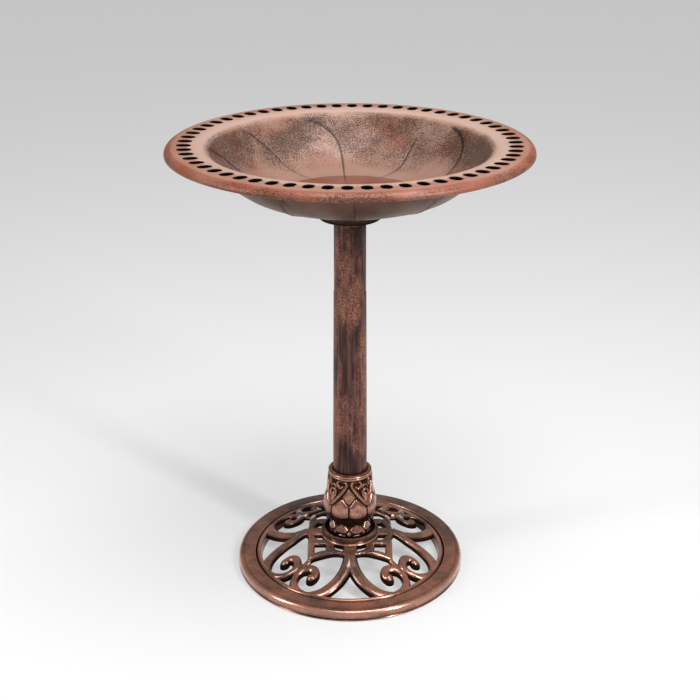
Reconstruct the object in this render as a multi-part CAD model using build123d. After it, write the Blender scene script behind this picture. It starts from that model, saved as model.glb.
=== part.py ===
from build123d import *
import os
from math import cos, hypot, radians, sin

# A garden bird bath: a shallow slotted bowl on a slim two-piece pole, a leaf collar
# and a round openwork foot. All sizes are in millimetres, +Z is up, and the origin is
# at the centre of the foot ring, on the ground. Every height is stacked from the ground.

# Overall sizes
BOWL_R = 260.0  # outside of the rolled rim
BASE_R = 180.0  # outside of the foot ring
HUB_TOP_Z = 46.0  # flat top of the base plate's centre
COLLAR_H = 114.0  # leaf collar, foot to top bead
LOWER_POLE_H = 376.0
UPPER_POLE_H = 106.0
BOWL_H = 87.0  # underside of the bowl's pad to the crest of its rim

# Fits, radial
SLIP = 0.05  # pieces that are pushed or glued into each other
THREAD_PLAY = 0.08  # bowl spigot in its socket
BOLT_PLAY = 0.4  # holes that only let a bolt or screw pass

# Base plate
PLATE_T = 8.0  # thickness of the openwork
HUB_FLAT_R = 72.0  # radius of the flat centre
SHOULDER_R = 90.0
SHOULDER_DROP = 11.0  # fall of the plate from the flat centre to SHOULDER_R
RING_W = 38.0  # width of the foot ring
RING_H = 17.0
RING_WALL = 5.0
RING_EDGE = 3.5  # rounding of the ring's outer edge
BEAD_W = 9.0  # raised bead round the ring's inner edge
BEAD_RISE = 2.5
WEB_JOIN = 8.0  # how far the openwork runs into the ring
WEB_OVERLAP = 1.0  # part of the join that has no plate inside it
STRAP_W = 18.5  # rib between a lobe and the ring
HOOK_W = 12.0  # band that curls back from the ring
BULB_R = 12.5  # round end of the curl
TIP_W = 7.0
STUB_W = 13.0  # bar between a rosette corner and the two curls
LOBE_EXTREME = 70.4  # rosette lobe, from the axis to its outer edge
LOBE_R = 45.2  # radius of a lobe's outer edge
ROSETTE_HALF = 67.0  # half side of the rosette's square
ROSETTE_ROUND = 8.0  # rounding of the square's corners
FRAME_W = 11.0  # rim left between a lobe window and the lobe's edge
LOBE_BAR_W = 22.0  # bar between the two windows of a lobe
CROSS_BAR_W = 16.0  # bar between a lobe window and a corner window
LOBE_WINDOW_W = 13.0
CORNER_WINDOW_W = 15.0
WINDOW_ROUND = 2.0

# Hub cup and leaf collar
CUP_R = 46.7
CUP_FLOOR_T = 4.0
CUP_EDGE_H = 4.0  # upright edge of the cup
CUP_LIP_H = 7.5  # rounded lip above the edge
CUP_WALL = 6.2
CUP_WALL_LEAN = 1.0  # how much narrower the cup's inside is at its floor than at its lip
COLLAR_FOOT_R = 31.5
COLLAR_FLARE_R = 33.0  # widest place of the flared foot
COLLAR_FLARE_H = 9.0  # and its height above the collar's foot
COLLAR_NECK_R = 27.8
COLLAR_NECK_H = 22.0
COLLAR_UNDERCUT_R = 34.7  # where the belly starts
COLLAR_UNDERCUT_H = 28.0
COLLAR_BELLY_R = 40.2
COLLAR_BELLY_H = 50.0
COLLAR_UPPER_R = 38.2  # upper end of the belly
COLLAR_UPPER_H = 70.0
COLLAR_SHOULDER_R = 33.5
COLLAR_BEAD_R = 33.4
COLLAR_BEAD_H = 8.5
COLLAR_GROOVE = 1.0  # groove under the top bead, and the bevel of its edges
COLLAR_GROOVE_H = 5.0
COLLAR_BEAD_BULGE = 0.8
SOCKET_FLOOR_H = 34.0  # the pole stands this far above the collar's foot
SOCKET_FLOOR_T = 6.0
FOOT_HOLLOW_R = 20.0

# Pole
POLE_R = 26.2  # lower section's foot
POLE_STRAIGHT_H = 131.0  # the lower section is straight up to here, then tapers
LOWER_TOP_R = 24.3
UPPER_FOOT_R = 23.8
UPPER_TOP_R = 23.5
POLE_BORE_R = 20.8
SLEEVE_H = 80.0
SLEEVE_WALL = 3.0

# Fastening of the pole to the base
BOLT_D = 8.0
BOLT_HEAD_AF = 13.0
BOLT_HEAD_H = 5.3
BOLT_END = 2.5  # thread that shows past the nut
WASHER_R = 16.0
WASHER_T = 2.0
NUT_AF = 13.0
NUT_H = 6.5
NUT_PLAY = 0.1
PLUG_H = 30.0
PLUG_WEB_T = 8.0

# Screwed joint under the bowl
SOCKET_FLANGE_R = 25.5
SOCKET_FLANGE_T = 4.0
SOCKET_DEPTH = 36.0  # below the pole's top
SOCKET_END_T = 4.0
SLIP_WASHER_T = 3.0
SPIGOT_R = 15.0
SPIGOT_L = 32.0  # below the bowl mount's face
SPIGOT_WALL = 3.5
MOUNT_R = 47.0
MOUNT_STEP_R = 49.0
MOUNT_H = 24.0
MOUNT_STEP_H = 12.0
MOUNT_WALL = 4.0
SCREW_COUNT = 4
SCREW_CIRCLE_R = 33.0
SCREW_D = 4.0
SCREW_HEAD_R = 4.0
SCREW_HEAD_H = 2.8
SCREW_BITE = 4.5
SCREW_PILLAR_R = 6.5
SCREW_RECESS_W = 1.0  # cross recess in the screw's head
SCREW_RECESS_T = 1.0
COUNTERBORE_PLAY = 0.6

# Bowl
PAD_R = 50.0  # flat pad under the bowl
FLOOR_T = 7.0
FLOOR_R = 108.0  # flat floor inside
WALL_T = 3.0
THROAT_INSET = 60.0  # rim's edge to the top of the side wall
WALL_RISE = 75.0
WALL_POWER = 3.45  # how sharply the side turns up
SHOULDER_INSET = 48.0
RIM_INNER_INSET = 38.0
CREST_INSET = 17.0
LIP_EDGE_INSET = 3.0
LIP_DROP = 12.0
LIP_FLAT = 2.0
RIM_RISE = 1.5  # the rim climbs this much from the slots' inner ends to its crest
SHOULDER_SINK = 3.0
SLOT_COUNT = 60
SLOT_L = 19.0
SLOT_W = 13.0
SLOT_OUTER_INSET = 18.5
SLOT_TURN = -0.8  # degrees by which the ring of slots is turned
SLOT_BAND_DROP = 8.0  # the rim's crest to the underside of the thicker band round the slots
SLOT_BAND_TOP_DROP = 2.5  # buried in the rim, so that the band joins it
SLOT_BAND_MARGIN = 2.0  # band beyond the slots' ends

# Stacked heights
COLLAR_Z = HUB_TOP_Z + CUP_FLOOR_T
COLLAR_TOP_Z = COLLAR_Z + COLLAR_H
POLE_Z = COLLAR_Z + SOCKET_FLOOR_H
SEAM_Z = POLE_Z + LOWER_POLE_H
POLE_TOP_Z = SEAM_Z + UPPER_POLE_H
SOCKET_TOP_Z = POLE_TOP_Z + SOCKET_FLANGE_T
MOUNT_Z = SOCKET_TOP_Z + SLIP_WASHER_T
PAD_Z = MOUNT_Z + MOUNT_H
RIM_Z = PAD_Z + BOWL_H
HUB_UNDER_Z = HUB_TOP_Z - PLATE_T
NUT_Z = POLE_Z + PLUG_WEB_T

RING_IN_R = BASE_R - RING_W
BOLT_HOLE_R = BOLT_D / 2 + BOLT_PLAY
TALL = 4 * HUB_TOP_Z  # height of the tools that cut right through the plate


def turned(outline):
    """Solid of revolution about Z from a closed outline of (radius, height) edges."""
    return revolve(Plane.XZ * make_face(outline), Axis.Z)


def drum(radius, low, high):
    """Round bar on the Z axis between two heights."""
    low_face = (Align.CENTER, Align.CENTER, Align.MIN)
    return Pos(0, 0, low) * Cylinder(radius, high - low, align=low_face)


def tube(outer, inner, low, high):
    return drum(outer, low, high) - drum(inner, low, high)


def hexagon(across_flats, low, high):
    sketch = RegularPolygon(across_flats / 2, 6, major_radius=False)
    return Pos(0, 0, low) * extrude(sketch, high - low)


# ---- base plate ----
def motif_point(reach, angle):
    """Point of the openwork: reach runs 0 to 1 from the rosette's lobes to the ring,
    and angle, in degrees, is measured from the motif's own diagonal."""
    radius = LOBE_EXTREME + reach * (RING_IN_R + BEAD_W / 2 - LOBE_EXTREME)
    return (radius * cos(radians(angle)), radius * sin(radians(angle)))


def half_motif():
    """One rib that runs out to the ring and curls back into a bulb, beside the diagonal."""
    rib = Spline(
        motif_point(-0.05, 44.0),
        motif_point(0.35, 39.5),
        motif_point(0.63, 33.7),
        motif_point(0.93, 25.0),
        motif_point(1.0, 17.5),
    )
    hook = Spline(
        motif_point(1.0, 17.5),
        motif_point(0.98, 10.5),
        motif_point(0.86, 4.5),
        motif_point(0.68, 3.0),
        motif_point(0.5, 6.0),
    )
    tip = Spline(motif_point(0.5, 14.0), motif_point(0.62, 16.0), motif_point(0.71, 13.6))
    bulb = Pos(*motif_point(0.52, 10.4)) * Circle(BULB_R)
    return trace(rib, STRAP_W) + trace(hook, HOOK_W) + trace(tip, TIP_W) + bulb


def rosette():
    """Square with a lobe on each side, and twelve windows round the hub."""
    lobe_centre = LOBE_EXTREME - LOBE_R
    plan = Rectangle(2 * ROSETTE_HALF, 2 * ROSETTE_HALF)
    plan = fillet(plan.vertices(), ROSETTE_ROUND)
    for location in PolarLocations(lobe_centre, 4):
        plan += location * Circle(LOBE_R)
    window_in = LOBE_BAR_W / 2
    window_mid = window_in + LOBE_WINDOW_W / 2
    corner_mid = window_in + LOBE_WINDOW_W + CROSS_BAR_W + CORNER_WINDOW_W / 2
    hub = Circle(CUP_R + SLIP)
    inside_lobe = Pos(lobe_centre, 0) * Circle(LOBE_R - FRAME_W)
    strip = Rectangle(LOBE_EXTREME, LOBE_WINDOW_W, align=(Align.MIN, Align.CENTER))
    corner = Rectangle(CORNER_WINDOW_W, CORNER_WINDOW_W)
    corner = fillet(corner.vertices(), WINDOW_ROUND)
    for turn in range(4):
        for side in (-1, 1):
            window = (Pos(0, side * window_mid) * strip) & inside_lobe
            plan -= Rot(0, 0, 90 * turn) * (window - hub)
        plan -= Rot(0, 0, 90 * turn) * (Pos(corner_mid, corner_mid) * corner - hub)
    return plan


def openwork_plan():
    """Everything of the base plate inside the ring, seen from above."""
    half = half_motif()
    stub_in = ROSETTE_HALF - FRAME_W
    stub_out = motif_point(0.62, 0)[0]
    stub_length = stub_out - stub_in * 2 ** 0.5
    stub = Rectangle(stub_length, STUB_W, align=(Align.MIN, Align.CENTER))
    motif = half + mirror(half, Plane.XZ) + Pos(stub_in * 2 ** 0.5, 0) * stub
    plan = rosette()
    for quarter in range(4):
        plan += Rot(0, 0, 45 + 90 * quarter) * motif
    limit = Circle(RING_IN_R + WEB_JOIN)
    return (plan & limit) + (limit - Circle(RING_IN_R + WEB_OVERLAP))


def dome_band():
    """Shallow dome that gives the openwork its height and thickness."""
    join_r = RING_IN_R + WEB_JOIN
    top = [
        (0, HUB_TOP_Z),
        (HUB_FLAT_R, HUB_TOP_Z),
        (SHOULDER_R, HUB_TOP_Z - SHOULDER_DROP),
        (join_r, RING_H - BEAD_RISE),
    ]
    under = [(radius, height - PLATE_T) for radius, height in reversed(top)]
    return turned(Polyline(*top, *under, close=True))


def foot_ring():
    """Channel-shaped ring: beaded inner wall, flat top and rounded outer skirt."""
    bead_low = RING_H - 2 * BEAD_RISE
    flat_in_r = RING_IN_R + BEAD_W + BEAD_RISE
    outline = Polyline((RING_IN_R, bead_low), (RING_IN_R, 0), (RING_IN_R + RING_WALL, 0))
    outline += Polyline(
        (RING_IN_R + RING_WALL, 0),
        (RING_IN_R + RING_WALL, RING_H - 2 * RING_WALL),
        (BASE_R - RING_WALL, RING_H - RING_WALL),
        (BASE_R - RING_WALL, 0),
        (BASE_R, 0),
        (BASE_R, RING_H - RING_EDGE),
    )
    outline += RadiusArc((BASE_R, RING_H - RING_EDGE), (BASE_R - RING_EDGE, RING_H), -RING_EDGE)
    outline += Polyline(
        (BASE_R - RING_EDGE, RING_H),
        (flat_in_r, RING_H),
        (flat_in_r - BEAD_RISE / 2, bead_low + BEAD_RISE / 2),
        (RING_IN_R + BEAD_W, bead_low),
    )
    bead_top = (RING_IN_R + BEAD_W / 2, bead_low + 2 * BEAD_RISE)
    outline += ThreePointArc((RING_IN_R + BEAD_W, bead_low), bead_top, (RING_IN_R, bead_low))
    return turned(outline)


def base_plate():
    openwork = extrude(openwork_plan(), TALL) & dome_band()
    return openwork + foot_ring() - drum(BOLT_HOLE_R, 0, TALL)


# ---- hub ----
def hub_cup():
    """Round dish that seats the collar's foot on the hub."""
    edge_z = HUB_TOP_Z + CUP_EDGE_H
    lip_z = edge_z + CUP_LIP_H
    inner_r = CUP_R - CUP_WALL
    outline = Polyline(
        (inner_r, lip_z),
        (inner_r - CUP_WALL_LEAN, COLLAR_Z),
        (BOLT_HOLE_R, COLLAR_Z),
        (BOLT_HOLE_R, HUB_TOP_Z),
        (CUP_R, HUB_TOP_Z),
        (CUP_R, edge_z),
    )
    outline += Spline((CUP_R, edge_z), (inner_r, lip_z), tangents=((0, 1), (-1, 0.3)))
    return turned(outline)


def leaf_collar():
    """Vase-shaped collar: flared foot, narrow neck, round belly and a beaded top.
    The pole stands in its deep socket."""
    bead_z = COLLAR_TOP_Z - COLLAR_BEAD_H
    shoulder = (COLLAR_SHOULDER_R, bead_z - COLLAR_GROOVE_H)
    outline = Spline(
        (COLLAR_FOOT_R, COLLAR_Z),
        (COLLAR_FLARE_R, COLLAR_Z + COLLAR_FLARE_H),
        (COLLAR_NECK_R, COLLAR_Z + COLLAR_NECK_H),
        (COLLAR_UNDERCUT_R, COLLAR_Z + COLLAR_UNDERCUT_H),
        (COLLAR_BELLY_R, COLLAR_Z + COLLAR_BELLY_H),
        (COLLAR_UPPER_R, COLLAR_Z + COLLAR_UPPER_H),
        shoulder,
    )
    groove = (COLLAR_SHOULDER_R - COLLAR_GROOVE, bead_z)
    bead_low = (COLLAR_BEAD_R, bead_z + COLLAR_GROOVE)
    bead_side = (COLLAR_BEAD_R + COLLAR_BEAD_BULGE, bead_z + COLLAR_BEAD_H / 2)
    bead_top = (COLLAR_BEAD_R, COLLAR_TOP_Z - COLLAR_GROOVE)
    outline += Polyline(shoulder, groove, bead_low)
    outline += ThreePointArc(bead_low, bead_side, bead_top)
    outline += Polyline(
        bead_top,
        (COLLAR_BEAD_R - COLLAR_GROOVE, COLLAR_TOP_Z),
        (POLE_R + SLIP, COLLAR_TOP_Z),
        (POLE_R + SLIP, POLE_Z),
        (BOLT_HOLE_R, POLE_Z),
        (BOLT_HOLE_R, POLE_Z - SOCKET_FLOOR_T),
        (FOOT_HOLLOW_R, POLE_Z - SOCKET_FLOOR_T),
        (FOOT_HOLLOW_R, COLLAR_Z),
        (COLLAR_FOOT_R, COLLAR_Z),
    )
    return turned(outline)


# ---- pole ----
def lower_pole():
    straight_z = POLE_Z + POLE_STRAIGHT_H
    outline = Polyline(
        (POLE_BORE_R, POLE_Z),
        (POLE_R, POLE_Z),
        (POLE_R, straight_z),
        (LOWER_TOP_R, SEAM_Z),
        (POLE_BORE_R, SEAM_Z),
        close=True,
    )
    return turned(outline)


def upper_pole():
    outline = Polyline(
        (POLE_BORE_R, SEAM_Z),
        (UPPER_FOOT_R, SEAM_Z),
        (UPPER_TOP_R, POLE_TOP_Z),
        (POLE_BORE_R, POLE_TOP_Z),
        close=True,
    )
    return turned(outline)


def pole_sleeve():
    """Hidden tube that joins the two pole sections end to end."""
    outer = POLE_BORE_R - SLIP
    return tube(outer, outer - SLEEVE_WALL, SEAM_Z - SLEEVE_H / 2, SEAM_Z + SLEEVE_H / 2)


def pole_foot_plug():
    """Plug in the foot of the pole, with a hexagonal pocket that holds the nut."""
    body = drum(POLE_BORE_R - SLIP, POLE_Z, POLE_Z + PLUG_H)
    body -= hexagon(NUT_AF + 2 * NUT_PLAY, NUT_Z, POLE_Z + PLUG_H)
    return body - drum(BOLT_HOLE_R, POLE_Z, NUT_Z)


def base_nut():
    return hexagon(NUT_AF, NUT_Z, NUT_Z + NUT_H) - drum(BOLT_D / 2 + SLIP, NUT_Z, NUT_Z + NUT_H)


def base_washer():
    return tube(WASHER_R, BOLT_HOLE_R, HUB_UNDER_Z - WASHER_T, HUB_UNDER_Z)


def base_bolt():
    head_z = HUB_UNDER_Z - WASHER_T
    head = hexagon(BOLT_HEAD_AF, head_z - BOLT_HEAD_H, head_z)
    return head + drum(BOLT_D / 2, head_z, NUT_Z + NUT_H + BOLT_END)


# ---- screwed joint under the bowl ----
def pole_top_socket():
    """Cap in the top of the pole, with the female half of the bowl's screw joint."""
    low = POLE_TOP_Z - SOCKET_DEPTH
    body = drum(POLE_BORE_R - SLIP, low, POLE_TOP_Z)
    body += drum(SOCKET_FLANGE_R, POLE_TOP_Z, SOCKET_TOP_Z)
    return body - drum(SPIGOT_R + THREAD_PLAY, low + SOCKET_END_T, SOCKET_TOP_Z)


def slip_washer():
    """Thin washer between the socket's flange and the bowl mount."""
    return tube(SOCKET_FLANGE_R, SPIGOT_R + THREAD_PLAY, SOCKET_TOP_Z, MOUNT_Z)


def screw_places():
    return [Rot(0, 0, 45) * place for place in PolarLocations(SCREW_CIRCLE_R, SCREW_COUNT)]


def bowl_mount():
    """Stepped round flange under the bowl, with the male spigot of the screw joint."""
    step_z = PAD_Z - MOUNT_STEP_H
    body = drum(MOUNT_R, MOUNT_Z, step_z) + drum(MOUNT_STEP_R, step_z, PAD_Z)
    pocket_in = SPIGOT_R + MOUNT_WALL
    body -= tube(MOUNT_R - MOUNT_WALL, pocket_in, MOUNT_Z + MOUNT_WALL, PAD_Z)
    for place in screw_places():
        body += place * drum(SCREW_PILLAR_R, MOUNT_Z + MOUNT_WALL / 2, PAD_Z)
    body += drum(SPIGOT_R, MOUNT_Z - SPIGOT_L, MOUNT_Z)
    body -= drum(SPIGOT_R - SPIGOT_WALL, MOUNT_Z - SPIGOT_L, PAD_Z - MOUNT_WALL)
    head_top = MOUNT_Z + SCREW_HEAD_H + COUNTERBORE_PLAY
    for place in screw_places():
        body -= place * drum(SCREW_D / 2 + BOLT_PLAY, MOUNT_Z, PAD_Z)
        body -= place * drum(SCREW_HEAD_R + COUNTERBORE_PLAY, MOUNT_Z, head_top)
    return body


def mount_screws():
    """Pan-head screws that hold the mount to the bowl's pad."""
    head_top = MOUNT_Z + SCREW_HEAD_H + COUNTERBORE_PLAY
    screw = drum(SCREW_D / 2, head_top, PAD_Z + SCREW_BITE)
    screw += drum(SCREW_HEAD_R, head_top - SCREW_HEAD_H, head_top)
    recess = Box(SCREW_HEAD_R, SCREW_RECESS_W, 2 * SCREW_RECESS_T)
    recess += Box(SCREW_RECESS_W, SCREW_HEAD_R, 2 * SCREW_RECESS_T)
    screw -= Pos(0, 0, head_top - SCREW_HEAD_H) * recess
    return Compound(children=[place * screw for place in screw_places()])


# ---- bowl ----
def wall_point(share, offset):
    """Point of the side wall: share runs 0 to 1 from the pad's edge to the throat, and
    offset is the distance inwards from the outer face, square to it."""
    throat_r = BOWL_R - THROAT_INSET
    radius = PAD_R + share * (throat_r - PAD_R)
    height = PAD_Z + WALL_RISE * share ** WALL_POWER
    slope = WALL_RISE * WALL_POWER * share ** (WALL_POWER - 1) / (throat_r - PAD_R)
    length = hypot(1, slope)
    return (radius - offset * slope / length, height + offset / length)


def bowl():
    """Thin shell: flat pad, side wall that turns up, slotted rim and rolled lip."""
    rim_in = (BOWL_R - RIM_INNER_INSET, RIM_Z - RIM_RISE)
    crest = (BOWL_R - CREST_INSET, RIM_Z)
    lip_top = (BOWL_R, RIM_Z - LIP_DROP + LIP_FLAT)
    lip_inner_r = BOWL_R - LIP_EDGE_INSET
    shoulder_under = (BOWL_R - SHOULDER_INSET, RIM_Z - SHOULDER_SINK - WALL_T)
    throat_slope = WALL_RISE * WALL_POWER / (BOWL_R - THROAT_INSET - PAD_R)
    under = [wall_point(share, 0) for share in (0, 0.3, 0.5, 0.7, 0.85, 1)]
    floor_z = PAD_Z + FLOOR_T
    inside = [(FLOOR_R, floor_z)] + [wall_point(share, WALL_T) for share in (0.6, 0.75, 0.9, 1)]
    outline = Line((0, PAD_Z), under[0])
    outline += Spline(*under, tangents=((1, 0), (1, throat_slope)))
    outline += Spline(under[-1], shoulder_under, tangents=((1, throat_slope), (1, 0.1)))
    rim_under = (crest[0], crest[1] - WALL_T)
    outline += Line(shoulder_under, rim_under)
    outline += Spline(rim_under, (lip_inner_r, lip_top[1]), tangents=((1, 0), (0, -1)))
    outline += Polyline(
        (lip_inner_r, lip_top[1]),
        (lip_inner_r, RIM_Z - LIP_DROP),
        (BOWL_R, RIM_Z - LIP_DROP),
        lip_top,
    )
    outline += Spline(lip_top, crest, tangents=((0, 1), (-1, 0)))
    outline += Line(crest, rim_in)
    outline += Spline(rim_in, inside[-1], tangents=((-1, -0.1), (-1, -throat_slope)))
    outline += Spline(*reversed(inside), tangents=((-1, -throat_slope), (-1, 0)))
    outline += Polyline((FLOOR_R, floor_z), (0, floor_z), (0, PAD_Z))
    slot_r = BOWL_R - SLOT_OUTER_INSET - SLOT_L / 2
    band_half = SLOT_L / 2 + SLOT_BAND_MARGIN
    band = tube(
        slot_r + band_half, slot_r - band_half, RIM_Z - SLOT_BAND_DROP, RIM_Z - SLOT_BAND_TOP_DROP
    )
    shell = turned(outline) + band
    slot_tool = extrude(SlotOverall(SLOT_L, SLOT_W), 2 * LIP_DROP)
    slots = [
        Pos(0, 0, RIM_Z - LIP_DROP) * Rot(0, 0, SLOT_TURN) * place * slot_tool
        for place in PolarLocations(slot_r, SLOT_COUNT)
    ]
    pilots = [
        place * drum(SCREW_D / 2 + SLIP, PAD_Z, PAD_Z + SCREW_BITE + COUNTERBORE_PLAY)
        for place in screw_places()
    ]
    return shell - slots - pilots


NODES = (
    base_plate,
    hub_cup,
    leaf_collar,
    lower_pole,
    upper_pole,
    pole_sleeve,
    pole_foot_plug,
    base_bolt,
    base_washer,
    base_nut,
    pole_top_socket,
    slip_washer,
    bowl_mount,
    mount_screws,
    bowl,
)

os.makedirs("parts", exist_ok=True)
for make in NODES:
    export_step(make(), f"parts/{make.__name__}.step")
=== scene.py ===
"""Looks of a resin bird bath: slotted bowl, screwed boss, two-piece pole, leaf collar, cup and
openwork foot. The file is laid out as an add-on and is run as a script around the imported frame."""

import math
from functools import cache

import bmesh
import bpy
import numpy as np
from bpy.props import FloatProperty, FloatVectorProperty, IntProperty, PointerProperty
from mathutils import Matrix, Vector


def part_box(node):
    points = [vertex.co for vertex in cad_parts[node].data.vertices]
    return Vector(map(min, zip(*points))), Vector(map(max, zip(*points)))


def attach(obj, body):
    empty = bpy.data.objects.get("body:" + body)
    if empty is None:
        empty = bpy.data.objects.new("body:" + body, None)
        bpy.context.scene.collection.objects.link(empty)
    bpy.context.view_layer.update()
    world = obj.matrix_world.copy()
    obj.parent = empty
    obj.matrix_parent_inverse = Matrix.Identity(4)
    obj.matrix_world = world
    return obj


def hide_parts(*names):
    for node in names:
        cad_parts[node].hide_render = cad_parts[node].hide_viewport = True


bl_info = {
    "name": "Bird Bath",
    "version": (1, 0, 0),
    "blender": (4, 5, 0),
    "location": "View3D > Sidebar > Bird Bath",
    "description": "Builds the detailed pieces of a copper-bronze bird bath",
    "category": "Object",
}

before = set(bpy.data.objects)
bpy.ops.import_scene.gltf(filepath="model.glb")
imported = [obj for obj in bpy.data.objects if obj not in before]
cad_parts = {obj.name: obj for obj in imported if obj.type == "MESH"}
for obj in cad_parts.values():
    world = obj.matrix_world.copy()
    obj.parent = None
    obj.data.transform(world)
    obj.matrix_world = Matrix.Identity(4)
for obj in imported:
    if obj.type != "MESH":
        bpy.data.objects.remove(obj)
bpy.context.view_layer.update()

MM = 0.001
TAU = 2 * math.pi


def top_of(node):
    """Height of a node's top, in millimetres."""
    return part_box(node)[1].z / MM


def foot_of(node):
    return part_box(node)[0].z / MM


def radius_of(node):
    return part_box(node)[1].x / MM


# Places taken from the frame, in millimetres
BOWL_R = radius_of("bowl")
RIM_Z = top_of("bowl")
PAD_Z = foot_of("bowl")
BASE_R = radius_of("base_plate")
HUB_TOP_Z = top_of("base_plate")
COLLAR_Z = foot_of("leaf_collar")
COLLAR_TOP_Z = top_of("leaf_collar")
POLE_Z = foot_of("lower_pole")
SEAM_Z = foot_of("upper_pole")
POLE_TOP_Z = top_of("upper_pole")
SOCKET_TOP_Z = top_of("pole_top_socket")
MOUNT_Z = top_of("slip_washer")
SPIGOT_END_Z = foot_of("bowl_mount")
MOUNT_R = radius_of("bowl_mount")
CUP_R = radius_of("hub_cup")
CUP_TOP_Z = top_of("hub_cup")


# ---------------------------------------------------------------- settings
def length(name, description, value):
    return FloatProperty(name=name, description=description, default=value, unit="LENGTH")


def angle(name, description, degrees):
    return FloatProperty(
        name=name, description=description, default=math.radians(degrees), unit="ROTATION"
    )


def number(name, description, value, least):
    return IntProperty(name=name, description=description, default=value, min=least)


def colour(name, description, value):
    return FloatVectorProperty(
        name=name, description=description, default=value, size=3, subtype="COLOR", min=0, max=1
    )


class BirdBathSizes(bpy.types.PropertyGroup):
    """Sizes that the user may change. Lengths are in metres."""

    slot_count: number("Rim slots", "Number of slots round the rim", 60, 12)
    slot_length: length("Slot length", "Length of a rim slot, outwards", 0.019)
    slot_width: length("Slot width", "Width of a rim slot", 0.013)
    slot_turn: angle("Slot turn", "Turn of the ring of slots about the pole", -0.8)
    petal_depth: length("Petal line depth", "Depth of the lines between petals", 0.0011)
    petal_puff: length("Petal fullness", "How far a petal swells between lines", 0.0009)
    strap_width: length("Rib width", "Width of a rib of the foot", 0.0205)
    foot_step: length("Foot mesh step", "Mesh spacing of the openwork foot", 0.00094)
    relief: length("Leaf relief", "Height of the leaves on the collar", 0.0032)
    collar_turn: angle("Collar turn", "Turn of the leaf pattern about the pole", -2.5)
    thread_lead: length("Thread lead", "Rise of the bowl's thread per turn", 0.008)
    turn_segments: number("Turned segments", "Segments round a turned piece", 144, 24)


class BirdBathColours(bpy.types.PropertyGroup):
    """Paint colours that the user may change."""

    bowl_wall: colour("Bowl wall", "Pinkish copper of the bowl's inside", (0.29, 0.165, 0.122))
    bowl_floor: colour("Bowl floor", "Redder copper of the bowl's floor", (0.18, 0.062, 0.038))
    # The pale shoulder colour is a painted highlight; it is also laid in random cloudy patches over
    # the bowl
    bowl_shoulder: colour("Bowl shoulder", "Pale worn shoulder of the bowl", (0.47, 0.31, 0.25))
    bowl_rim: colour("Bowl rim", "Copper of the slotted rim", (0.31, 0.145, 0.1))
    bowl_lip: colour("Bowl lip", "Orange copper of the rolled lip", (0.25, 0.07, 0.034))
    # The underside's dark colour is painted shade
    bowl_under: colour("Bowl underside", "Grey brown under the bowl", (0.06, 0.023, 0.013))
    speckle: colour("Speckle", "Dark dry-brushed speckle", (0.05, 0.03, 0.022))
    copper: colour("Copper", "Copper paint of the foot and collar", (0.46, 0.18, 0.11))
    charcoal: colour("Charcoal", "Dark patches and recesses", (0.045, 0.027, 0.022))
    # Bright paint on raised edges: partly wear, partly a painted highlight
    wear_and_highlight: colour("Worn edge", "Bright paint on raised edges", (0.8, 0.44, 0.33))
    pole_brown: colour("Pole brown", "Brown of the pole", (0.046, 0.021, 0.018))
    pole_fleck: colour("Pole fleck", "Coppery flecks on the pole", (0.56, 0.22, 0.135))
    inner: colour("Inner plastic", "Unpainted inner pieces", (0.05, 0.035, 0.028))
    zinc: colour("Zinc", "Plated screws and bolt", (0.6, 0.6, 0.57))
    floor: colour("Floor", "Studio floor", (0.42, 0.42, 0.42))


def sizes():
    return bpy.context.scene.bird_bath_sizes


def colour_of(name, share=1.0):
    """Colour of the settings, darkened or lightened by a share."""
    chosen = getattr(bpy.context.scene.bird_bath_colours, name)
    return tuple(c * share for c in chosen) + (1.0,)


# ---------------------------------------------------------------- meshes
def mesh_piece(name, points, faces, attributes=None):
    """Object from points in millimetres, faces and float attributes on its points."""
    mesh = bpy.data.meshes.new(name)
    mesh.from_pydata((np.asarray(points, float) * MM).tolist(), [], faces)
    for key, values in (attributes or {}).items():
        store(mesh, key, values)
    piece = bpy.data.objects.new(name, mesh)
    bpy.context.scene.collection.objects.link(piece)
    return piece


def store(mesh, key, values):
    attribute = mesh.attributes.get(key) or mesh.attributes.new(key, "FLOAT", "POINT")
    attribute.data.foreach_set("value", np.asarray(values, np.float32))


def points_of(mesh):
    """Points of a mesh in millimetres."""
    flat = np.zeros(len(mesh.vertices) * 3)
    mesh.vertices.foreach_get("co", flat)
    return flat.reshape(-1, 3) / MM


def move_points(mesh, points):
    mesh.vertices.foreach_set("co", (points * MM).ravel())
    mesh.update()


def outward(mesh):
    """Merges doubles and turns the faces of a closed mesh outwards."""
    bm = bmesh.new()
    bm.from_mesh(mesh)
    bmesh.ops.remove_doubles(bm, verts=bm.verts, dist=1e-6)
    bmesh.ops.recalc_face_normals(bm, faces=bm.faces)
    bm.to_mesh(mesh)
    bm.free()
    mesh.update()


def grid_faces(rows, columns, start=0):
    """Quads of a grid whose points run along the columns first."""
    return [
        (
            start + r * columns + c,
            start + r * columns + c + 1,
            start + (r + 1) * columns + c + 1,
            start + (r + 1) * columns + c,
        )
        for r in range(rows - 1)
        for c in range(columns - 1)
    ]


def quarter_round(start, end, tones, bulge_first):
    """Rows of a quarter ellipse from start to end, one for each tone, without the start.
    bulge_first is "r" where the curve leaves start along the radius, "z" along the height."""
    (r0, z0), (r1, z1) = start[:2], end
    rows = []
    for i, tone in enumerate(tones, 1):
        a = math.pi / 2 * i / len(tones)
        along, across = math.sin(a), 1 - math.cos(a)
        share_r, share_z = (along, across) if bulge_first == "r" else (across, along)
        rows.append((r0 + (r1 - r0) * share_r, z0 + (z1 - z0) * share_z, tone))
    return rows


def toned(tone, *points):
    """Rows (radius, height, tone) that share one tone."""
    return [(*point, tone) for point in points]


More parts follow.
